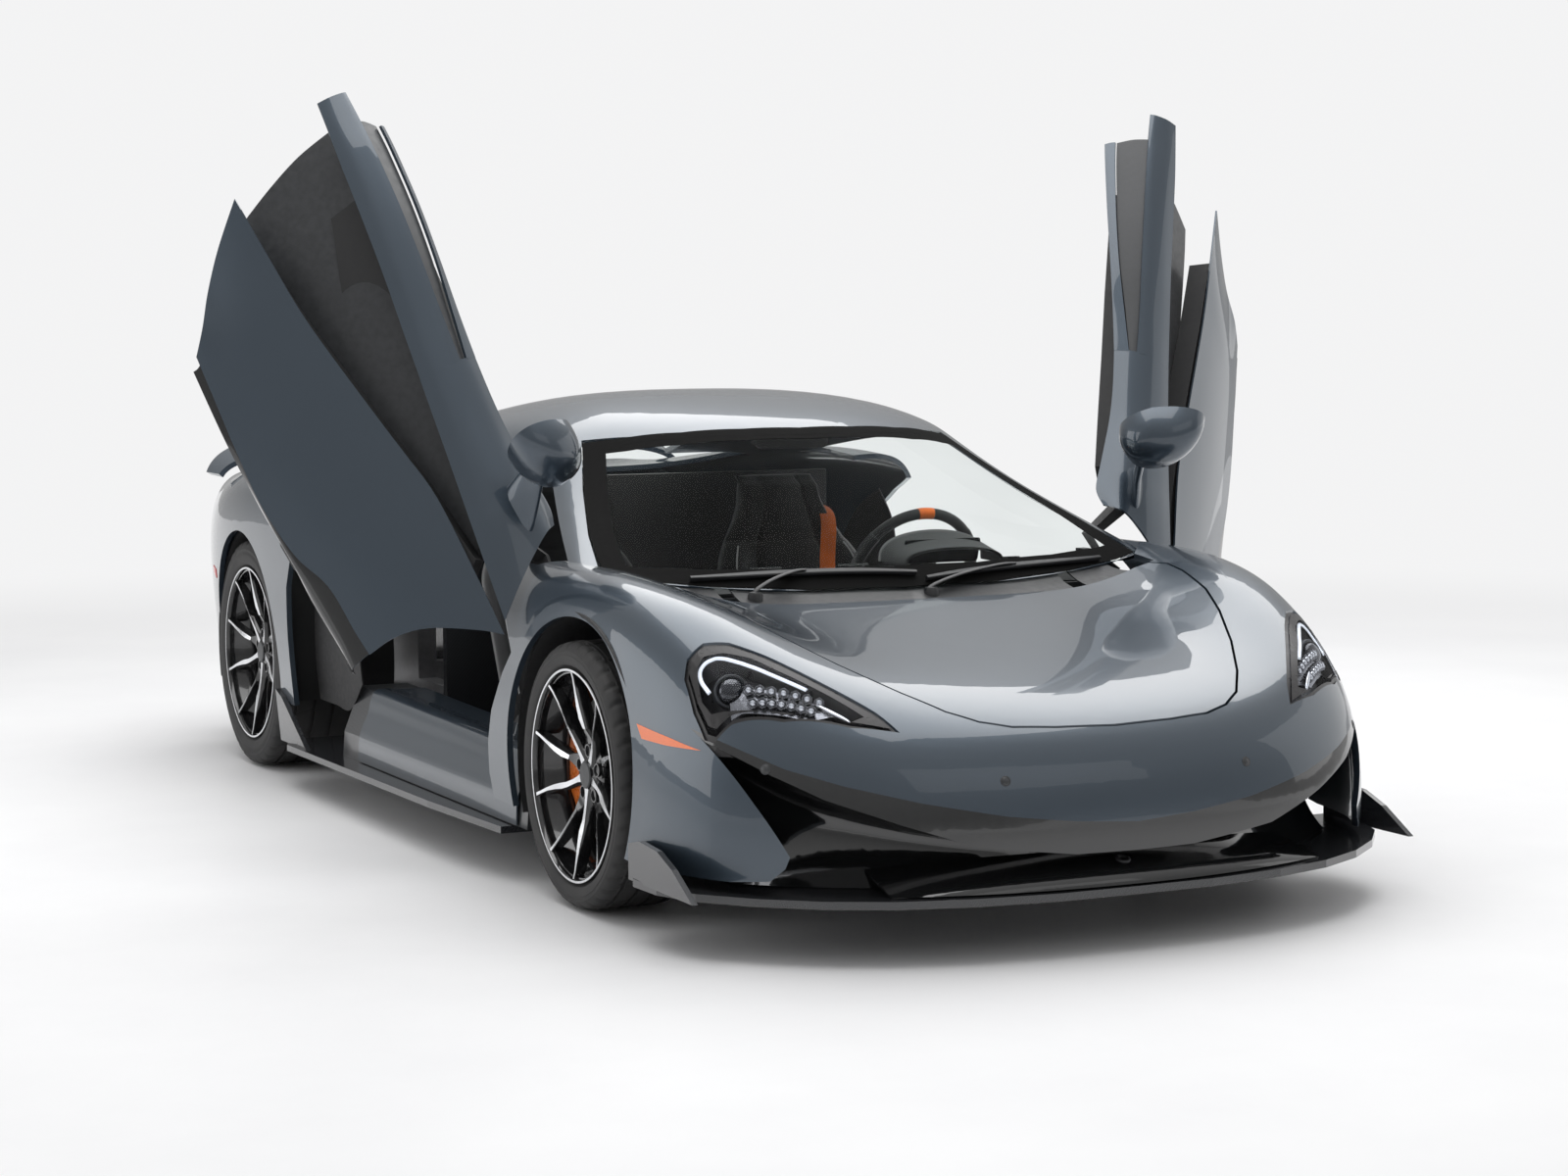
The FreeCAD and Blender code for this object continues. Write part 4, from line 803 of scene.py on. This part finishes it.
bonnet_skin, screen_skin = tree_of("bonnet"), tree_of("windscreen")
cowl_rows = []
for x in (-640, -600, -552, -506, -466, -400, -300, -200, -100, 0, 100, 200, 300, 400, 466, 506, 552, 600, 640):
    front_s = -1250 + 22 * (x / 600) ** 2
    rear_s = -1172 + 68 * (x / 600) ** 2
    first = dropped(bonnet_skin, at(x, front_s - 12, 0), UP, -0.01)[0]
    last = dropped(screen_skin, at(x, rear_s + 16, 0), UP, -0.01)[0]
    first.y = (front_s + STATION_SHIFT) / 1000
    cowl_rows.append([first, first.lerp(last, 0.5) - Vector((0, 0, 0.006)), last])
cowl = merged([panel(rows, 0.004, 4, UP) for rows in (cowl_rows[:4], cowl_rows[4:15], cowl_rows[15:])])
piece("cowl_panel", cowl, satin_black, "gloss_black", edge=40)


# Head lamps
LAMP_LINE = [(512, -2104), (543, -2046), (628, -1919), (697, -1815), (752, -1742), (800, -1706), (838, -1704),
             (856, -1728), (862, -1790), (858, -1840), (846, -1866), (814, -1889), (730, -1976), (611, -2058)]
LENS_LINE = [(839, -1762), (829, -1742), (812, -1736), (776, -1762), (731, -1812), (693, -1875), (621, -1978),
             (572, -2050), (606, -2050), (676, -2006), (758, -1932), (809, -1872), (838, -1834), (845, -1800)]


def lamp_parts():
    """Bezel, light guide, projector and lens rows of the left lamp as meshes."""
    cover = tree_of("headlamp_covers", "headlamps")
    rim_sheet = sheet_over(cover, drawn(inset(LAMP_LINE, 11)), drawn(LENS_LINE), UP, 0.0008, 0.012, (0, 1))
    guide_path = smooth_path(line_of([(832, -1800, 585), (836, -1766, 600), (831, -1748, 616), (820, -1744, 634),
                                      (806, -1748, 644), (783, -1764, 652), (742, -1820, 640), (695, -1888, 616),
                                      (656, -1940, 594)]), 5)
    path, ways = laid(cover, guide_path, UP, -0.01)
    guide = ribbon(path, ways, 0.0095, 0.004, 0.001)
    path, ways = laid(cover, [at(655, -1985, 560).lerp(at(603, -2046, 524), k / 8) for k in range(9)], UP, -0.008)
    streak = ribbon(path, ways, [0.004 + 0.006 * math.sin(math.pi * k / 8) for k in range(9)], 0.003)
    eye, _ = dropped(cover, at(800, -1827, 596), UP, -0.034)
    look = Vector((0.3, -0.86, 0.3)).normalized()
    ring = turned([(0.04, -0.016), (0.04, 0.0), (0.036, 0.006), (0.032, 0.003), (0.031, -0.004)], 40, eye, look)
    lens = turned([(0.031, -0.004), (0.03, 0.004), (0.026, 0.011), (0.018, 0.0165), (0.009, 0.019),
                   (0.0004, 0.0198)], 40, eye, look)
    cells, bowls = [], []
    for first, last in (((768, -1864, 600), (640, -1972, 576)), ((772, -1892, 572), (668, -1984, 556))):
        for k in range(7):
            place, _ = dropped(cover, at(*first).lerp(at(*last), k / 6), UP, -0.02)
            cells.append(turned([(0.0085, -0.012), (0.0085, 0.0), (0.0065, 0.004), (0.0004, 0.006)], 6, place, look))
            bowls.append(turned([(0.0125, 0.002), (0.0115, 0.002), (0.009, -0.01), (0.0125, -0.012),
                                 (0.0125, 0.002)], 6, place, look))
    shelf_line = [(822, -1862), (806, -1824), (770, -1852), (690, -1912), (640, -1962), (618, -2006), (676, -1998),
                  (756, -1926), (800, -1878)]
    shelf = sheet_over(cover, drawn(shelf_line), None, UP, -0.034, 0.014, (0, 1), 0.002)
    return [("bezel", rim_sheet, bezel), ("guide", guide, light_guide), ("streak", streak, chrome),
            ("projector_ring", ring, dark_satin), ("projector_lens", lens, screen_black),
            ("lens_cells", merged(cells), chrome), ("lens_bowls", merged(bowls), grey_reflector),
            ("shelf", shelf, grey_reflector)]


for name, mesh, mat in lamp_parts():
    pair("lamp_" + name, mesh, mat, "lamp", smooth=name not in ("bezel", "lens_cells", "shelf"))


# Windscreen border and wipers
SCREEN_HALF = [(0, -1186), (250, -1174), (500, -1131), (680, -1081), (762, -1040), (712, -820), (632, -590),
               (549, -378), (440, -455), (320, -515), (160, -555), (0, -570)]


def mirror_outline(points):
    return points + [(-x, s) for x, s in points[::-1] if x > 0.5]


screen = tree_of("windscreen")
screen_outer = mirror_outline(SCREEN_HALF)
screen_inner = inset(inset(inset(screen_outer, 16), 22), 26)
TOP_BAND_HALF = [(0, -614), (160, -598), (320, -552), (470, -478), (440, -462), (320, -522), (160, -562), (0, -577)]
for name, outline, hole, lift in (("screen_border", inset(screen_outer, 3), drawn(screen_inner), 0.0006),
                                  ("screen_top_band", mirror_outline(TOP_BAND_HALF), None, 0.0007)):
    piece(name, sheet_over(screen, drawn(outline), hole, UP, lift, 0.03, (0, 1), 0.0008), frit, "gloss_black",
          smooth=False)


def wiper(name, pivot, tip, heel):
    """Arm from its pivot to the middle of a blade that lies on the glass."""
    line = [at(*heel).lerp(at(*tip), k / 16) for k in range(17)]
    blade, blade_ways = laid(screen, line, UP, 0.007)
    squeegee, squeegee_ways = laid(screen, line, UP, 0.0008)
    base, middle = at(*pivot), blade[8]
    arm = smooth_path([base, base + Vector((0, 0, 0.02)), base.lerp(middle, 0.35) + Vector((0, 0, 0.026)),
                       base.lerp(middle, 0.8) + Vector((0, 0, 0.018)), middle + Vector((0, 0, 0.008))], 5)
    mesh = merged([ribbon(blade, blade_ways, [0.01 + 0.008 * math.sin(math.pi * k / 16) for k in range(17)], 0.009),
                   ribbon(squeegee, squeegee_ways, 0.003, 0.008), pipe(arm, 0.008, 10, 0.5),
                   turned([(0.019, -0.014), (0.019, 0.01), (0.015, 0.017), (0.0004, 0.019)], 24, base, UP)])
    piece(name, mesh, satin_black, "trim", edge=40)


wiper("wiper_left", (60, -1200, 706), (620, -1086, 770), (60, -1168, 750))
wiper("wiper_right", (-420, -1180, 712), (40, -1150, 750), (-560, -1100, 770))


# Sensors, markers and the eye on the lip
nose = tree_of("nose_panel", "bumper_corners", "nose_duct", "front_splitter")
flank = tree_of("fender_left", "bumper_corners", "quarter_left", "rear_bumper")
tail = tree_of("rear_bumper", "rear_diffuser")


def stud(tree, place, way, profile):
    hit, normal = dropped(tree, place, way, 0.0)
    return turned(profile, 28, hit, normal)


SENSOR = [(0.0118, -0.001), (0.0118, 0.0008), (0.0104, 0.0012), (0.01, 0.0001), (0.0092, 0.0012), (0.0004, 0.0015)]
for side_name, side in SIDES:
    studs = [stud(tree, at(side * x, s, z), way, SENSOR)
             for tree, x, s, z, way in ((nose, 779, -1984, 423, FORWARD), (nose, 313, -2218, 396, FORWARD),
                                        (tail, 330, 2200, 470, BACKWARD), (tail, 720, 2150, 470, BACKWARD))]
    piece("sensors_" + side_name, merged(studs), dark_satin, "trim")
FRONT_MARKER = [(-1839, 451), (-1740, 470), (-1612, 488), (-1640, 457), (-1735, 452)]
REAR_MARKER = [(1800, 560), (1872, 578), (1878, 596), (1812, 588)]
for name, outline, pitch, mat, slot in (("front_marker", FRONT_MARKER, 0.016, amber, "lamp"),
                                        ("rear_marker", REAR_MARKER, 0.012, red_lamp, "red_lamp")):
    pair(name, sheet_over(flank, drawn_side(outline), None, LEFT, 0.0022, pitch, (1, 2), 0.003), mat, slot,
         smooth=False)
EYE = [(0.017, -0.002), (0.017, 0.003), (0.013, 0.005), (0.0085, 0.003), (0.008, -0.001), (0.0004, -0.001)]
piece("lip_eye", stud(nose, at(0, -2251, 196), FORWARD, EYE), satin_black, "gloss_black")


# Black mesh between the tail lamps
def rear_mesh():
    """Honeycomb of flat bars over the black field between the tail lamps."""
    bars = []
    pitch = 0.034
    reach = pitch * 0.62
    for i in range(-15, 16):
        for k in range(4):
            x, z = i * pitch, 0.588 + k * pitch * 1.16 + (0.5 * pitch * 1.16 if i % 2 else 0.0)
            if abs(x) > 0.5 or z > 0.705:
                continue
            for a in (0, 60, 120):
                ends = [Vector((x + math.cos(math.radians(t)) * reach, 0, z + math.sin(math.radians(t)) * reach))
                        for t in (a, a + 60)]
                bars.append(ribbon(*laid(tail, ends, BACKWARD, 0.0015), 0.005, 0.006))
    return merged(bars)


field = [(-560, 560), (560, 560), (610, 640), (560, 712), (-560, 712), (-610, 640)]
piece("rear_field", sheet_over(tail, drawn_front(field), None, BACKWARD, 0.0012, 0.03, (0, 2), 0.0012), satin_black,
      "trim", smooth=False)
piece("rear_mesh", rear_mesh(), gloss_black, "gloss_black", smooth=False)


# Cabin
SEAT_X = 0.37


def closed_sheet(rows, cols, front_of, back_of):
    """Closed cushion between a front and a back surface over u from -1 to 1 and v from 0 to 1."""
    verts = []
    for surface in (front_of, back_of):
        for i in range(rows):
            for j in range(cols):
                verts.append(surface(-1 + 2 * j / (cols - 1), i / (rows - 1)))
    return verts, doubled(grid_faces(rows, cols), rows * cols)


def step(a, b, v):
    u = max(0.0, min(1.0, (v - a) / (b - a)))
    return u * u * (3 - 2 * u)


def groove(value, place, width, depth):
    return -depth * math.exp(-((value - place) / width) ** 2)


def cushion_top(u, v):
    """Seat cushion: two raised bolsters, three crowned panels with channels between them."""
    side_rise = step(0.5, 0.84, abs(u)) * 0.062 - step(0.9, 1.0, abs(u)) * 0.03
    crown = 0.01 * (1 - min(1.0, abs(u) / 0.5) ** 2)
    channels = sum(groove(v, c, 0.018, 0.007) for c in (0.22, 0.4, 0.58, 0.76)) * (1 - step(0.44, 0.56, abs(u)))
    seam = groove(abs(u), 0.5, 0.022, 0.009)
    front_roll = -0.05 * (1 - step(0.0, 0.12, v)) + 0.018 * step(0.02, 0.2, v) * (1 - step(0.25, 0.7, v))
    z = 0.258 + crown + side_rise + channels + seam + front_roll - 0.02 * v
    return Vector((u * (0.232 - 0.006 * (1 - v)), -0.517 + 0.006 + v * 0.53, z))


def cushion_low(u, v):
    return Vector((u * 0.226, -0.517 + 0.012 + v * 0.52, 0.165))


def back_line(v):
    """Place and half width of the backrest's middle line from its foot to the top of its head rest."""
    if v < 0.6:
        w = v / 0.6
        return -0.057 + 0.035 + 0.21 * w, 0.215 + 0.425 * w, 0.232
    w = (v - 0.6) / 0.4
    return 0.188 + 0.1 * w, 0.64 + 0.285 * w, 0.232 - 0.106 * step(0.0, 0.85, w)


def back_front(u, v):
    y, z, half = back_line(v)
    bolster = step(0.52, 0.86, abs(u)) * 0.058 * (1 - step(0.62, 0.8, v)) - step(0.9, 1.0, abs(u)) * 0.04
    crown = 0.012 * (1 - min(1.0, abs(u) / 0.5) ** 2)
    channels = sum(groove(v, c, 0.012, 0.008) for c in (0.14, 0.25, 0.36, 0.47, 0.58))
    channels *= 1 - step(0.44, 0.56, abs(u))
    seam = groove(abs(u), 0.5, 0.024, 0.009) + groove(v, 0.74, 0.012, 0.01)
    head = 0.022 * step(0.76, 0.84, v) - 0.05 * step(0.95, 1.0, v)
    return Vector((u * half, y - 0.004 - bolster * 0.55 - crown - channels - seam - head * 0.7, z))


def back_rear(u, v):
    y, z, half = back_line(v)
    return Vector((u * half * 0.94, y + 0.088 - 0.03 * abs(u) ** 3 - 0.03 * step(0.92, 1.0, v), z))


def shifted(verts, x):
    return [v + Vector((x, 0, 0)) for v in verts]


for side_name, side in SIDES:
    for part_name, top_of, low_of, rows in (("cushion", cushion_top, cushion_low, 60),
                                            ("backrest", back_front, back_rear, 90)):
        verts, faces = closed_sheet(rows, 56, top_of, low_of)
        mesh = shifted(verts, SEAT_X * side), turn_faces(faces, -1 if part_name == "backrest" else 1)
        pad = piece("seat_%s_%s" % (part_name, side_name), mesh, suede, "suede")
        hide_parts("seats")
    lines = []
    for u in (-0.86, 0.86):
        lines.append(pipe([cushion_top(u, k / 30) + Vector((0, 0, 0.002)) for k in range(31)], 0.0024, 6))
        lines.append(pipe([back_front(u, k / 40 * 0.72) + Vector((0, -0.002, 0)) for k in range(41)], 0.0024, 6))
    verts, faces = merged(lines)
    piece("seat_piping_" + side_name, (shifted(verts, SEAT_X * side), faces), piping, "suede")

belt_path = smooth_path([Vector((0.535, 0.395, 0.83)), Vector((0.5, 0.215, 0.8)), Vector((0.45, 0.105, 0.6)),
                         Vector((0.5, -0.005, 0.42)), Vector((0.585, -0.045, 0.33))], 8)
belt_ways = [Vector((-0.1, -0.85, 0.5))] * len(belt_path)
for side_name, side, cloth in (("left", 1, webbing), ("right", -1, dark_webbing)):
    verts, faces = ribbon(belt_path, belt_ways, 0.047, 0.0016)
    piece("belt_" + side_name, (flipped(verts, side), turn_faces(faces, side)), cloth, "suede", smooth=False)

WHEEL_HUB = at(370, -520, 700)
COLUMN = Vector((0, -math.cos(math.radians(25)), -math.sin(math.radians(25))))
WHEEL_UP = Vector((0, COLUMN.z, -COLUMN.y))


def rim_bar(first, last, radius, segs):
    """Round bar along the steering wheel's rim."""
    angles = [math.radians(first + (last - first) * k / 24) for k in range(25)]
    path = [WHEEL_HUB + (Vector(LEFT) * math.sin(a) + WHEEL_UP * math.cos(a)) * 0.18 for a in angles]
    return pipe(path, radius, segs, 1.0, COLUMN)


PAD_PROFILE = [(0.0655, -0.03), (0.066, -0.004), (0.06, 0.008), (0.045, 0.014), (0.0004, 0.017)]
RING_PROFILE = [(0.03, 0.0155), (0.0315, 0.0175), (0.033, 0.0155)]
pad_place = WHEEL_HUB - COLUMN * 0.002
grips = merged([rim_bar(50, 118, 0.0166, 18), rim_bar(-118, -50, 0.0166, 18)])
for name, mesh, mat in (("top_band", rim_bar(-7, 7, 0.0158, 20), webbing), ("grips", grips, satin_black),
                        ("pad", turned(PAD_PROFILE, 40, pad_place, -COLUMN), trim),
                        ("pad_ring", turned(RING_PROFILE, 40, pad_place, -COLUMN), dark_satin)):
    piece("wheel_" + name, mesh, mat, "suede", "steering_wheel")


def dash_hood():
    """Instrument hood: an arch over the display that opens towards the driver."""
    verts = []
    for k in range(9):
        v = k / 8
        for j in range(25):
            a = math.pi * j / 24
            half = 0.15 + 0.012 * v
            rise = math.sin(a) ** 0.7 * (0.04 + 0.04 * v)
            verts.append(at(370, -760 + 130 * v, 742) + Vector((math.cos(a) * half, 0, rise)))
    faces = grid_faces(9, 25)
    inner = [v - Vector(((v.x - SEAT_X) * 0.05, 0, 0.006)) for v in verts]
    n = len(verts)
    faces += [tuple(i + n for i in f[::-1]) for f in faces]
    faces += [(a, a + 1, a + 1 + n, a + n) for a in range(8 * 25, 8 * 25 + 24)]
    return verts + inner, faces


piece("dash_hood", dash_hood(), suede, "suede")


def slab(centre, rise, depth, half_w, half_h, round_r=0.008, segs=5):
    """Plate across the car with rounded corners."""
    ring = []
    for cx, cy, start in ((1, 1, 0), (-1, 1, 90), (-1, -1, 180), (1, -1, 270)):
        for k in range(segs + 1):
            a = math.radians(start + 90 * k / segs)
            ring.append((cx * (half_w - round_r) + math.cos(a) * round_r,
                         cy * (half_h - round_r) + math.sin(a) * round_r))
    verts = [centre + Vector(LEFT) * x + Vector(rise).normalized() * y for x, y in ring]
    verts += [v + Vector(depth) for v in verts]
    n = len(ring)
    faces = [tuple(range(n))[::-1], tuple(range(n, 2 * n))]
    return verts, faces + [(k, (k + 1) % n, n + (k + 1) % n, n + k) for k in range(n)]


vents = merged([slab(at(x, -634, 700 + k * 9), (0, 0.6, 1), (0, 0.01, 0), 0.046, 0.003, 0.0015, 2)
                for x in (-600, -130, 130, 600) for k in range(5)])
mirror_place = Vector((0.0, -0.56, 1.07))
for name, mesh, mat, slot in (
        ("instrument_display", slab(at(370, -690, 768), (0, -0.3, 1), (0, 0.006, 0), 0.115, 0.034), screen_black,
         "gloss_black"),
        ("centre_display", slab(at(0, -652, 640), (0, -0.35, 1), (0, 0.01, 0.003), 0.062, 0.088), screen_black,
         "gloss_black"),
        ("dash_vents", vents, gloss_black, "gloss_black"),
        ("console_panel", slab(at(0, -250, 422), (0, 1, 0), (0, 0, 0.004), 0.06, 0.19, 0.02), gloss_black,
         "gloss_black"),
        ("console_armrest", slab(at(0, -100, 426), (0, 1, 0), (0, 0, 0.022), 0.055, 0.11, 0.03), suede, "suede"),
        ("cabin_mirror", slab(mirror_place, (0, 0.25, 1), (0, 0.018, 0), 0.11, 0.024, 0.02), satin_black, "trim")):
    piece(name, mesh, mat, slot, smooth=False)
KNOB = [(0.02, 0.0), (0.02, 0.01), (0.017, 0.013), (0.0004, 0.0135)]
piece("console_knobs", merged([turned(KNOB, 28, at(0, s, 426), UP) for s in (-360, -300, -240)]), alloy, "alloy")


# Camera

yaw, pitch, roll = (math.radians(v) for v in (CAM_YAW, CAM_PITCH, CAM_ROLL))
back = Vector((math.sin(yaw) * math.cos(pitch), -math.cos(yaw) * math.cos(pitch), math.sin(pitch)))
right = (-back).cross(Vector(UP)).normalized()
up = right.cross(-back)
level_right = math.cos(roll) * right + math.sin(roll) * up
level_up = -math.sin(roll) * right + math.cos(roll) * up
cam_data = bpy.data.cameras.new("camera")
cam_data.lens, cam_data.sensor_width = CAM_LENS, SENSOR_WIDTH
camera = bpy.data.objects.new("camera", cam_data)
scene.collection.objects.link(camera)
turn = Matrix((level_right, level_up, back)).transposed().to_4x4()
camera.matrix_world = Matrix.Translation(CAM_POINT) @ turn
scene.camera = camera


# Studio

floor_data = bpy.data.meshes.new("floor")
floor_line = ((-60, -60), (60, -60), (60, 60), (-60, 60))
floor_data.from_pydata([(x, y, -0.002) for x, y in floor_line], [], [(0, 1, 2, 3)])
floor = bpy.data.objects.new("floor", floor_data)
scene.collection.objects.link(floor)
floor_mat, tree, bsdf = new_material("studio_floor")
wear = ramp(tree, noise(tree, 0.9, 8.0, 0.6), (0.3, (0.8, 0.8, 0.81, 1)), (0.7, (0.86, 0.86, 0.865, 1)))
put(bsdf, Base_Color=wear, Roughness=0.42, Specular_IOR_Level=0.35)
far_glow = add(tree, "Emission", Color=PALE)
reach = add(tree, "VectorMath", add(tree, "TexCoord").outputs["Object"])
reach.operation = "LENGTH"
fade = add(tree, "MapRange", Value=reach.outputs["Value"], From_Min=2.6, From_Max=9.0)
fade.interpolation_type = "SMOOTHSTEP"
ground = add(tree, "MixShader", fade.outputs["Result"], bsdf.outputs["BSDF"], far_glow.outputs["Emission"])
put(tree.nodes["Material Output"], Surface=ground.outputs["Shader"])
floor_data.materials.append(floor_mat)


def area_light(name, place, target, size, size_y, power):
    data = bpy.data.lights.new(name, "AREA")
    data.shape, data.size, data.size_y, data.energy = "RECTANGLE", size, size_y, power
    obj = bpy.data.objects.new(name, data)
    scene.collection.objects.link(obj)
    obj.location = place
    obj.rotation_euler = (Vector(target) - Vector(place)).to_track_quat("-Z", "Y").to_euler()


area_light("top_softbox", (0.5, 0.5, 5.2), (0.0, 0.0, 0.0), 6.0, 9.0, 400)
area_light("left_wall", (7.5, -1.0, 2.6), (0.0, -0.5, 0.6), 8.0, 4.0, 55)
area_light("right_wall", (-8.5, 3.0, 2.6), (0.0, 0.5, 0.6), 7.0, 4.0, 150)
area_light("front_fill", (1.5, -10.0, 5.2), (0.0, -1.5, 0.4), 8.0, 3.0, 28)

world = bpy.data.worlds.new("studio")
scene.world = world
world.use_nodes = True
sky = world.node_tree
height = add(sky, "SeparateXYZ", add(sky, "TexCoord").outputs["Generated"]).outputs["Z"]
tone = ramp(sky, height, (0.0, grey(0.45)), (0.1, grey(0.34)), (0.4, grey(0.48)), (1.0, grey(0.75)))
lit_by = put(sky.nodes["Background"], Color=tone, Strength=1.0)
seen = add(sky, "Background", Color=PALE)
choose = add(sky, "MixShader", add(sky, "LightPath").outputs["Is Camera Ray"], lit_by.outputs["Background"],
             seen.outputs["Background"])
put(sky.nodes["World Output"], Surface=choose.outputs["Shader"])
scene.view_settings.view_transform = "Standard"

bpy.context.view_layer.update()
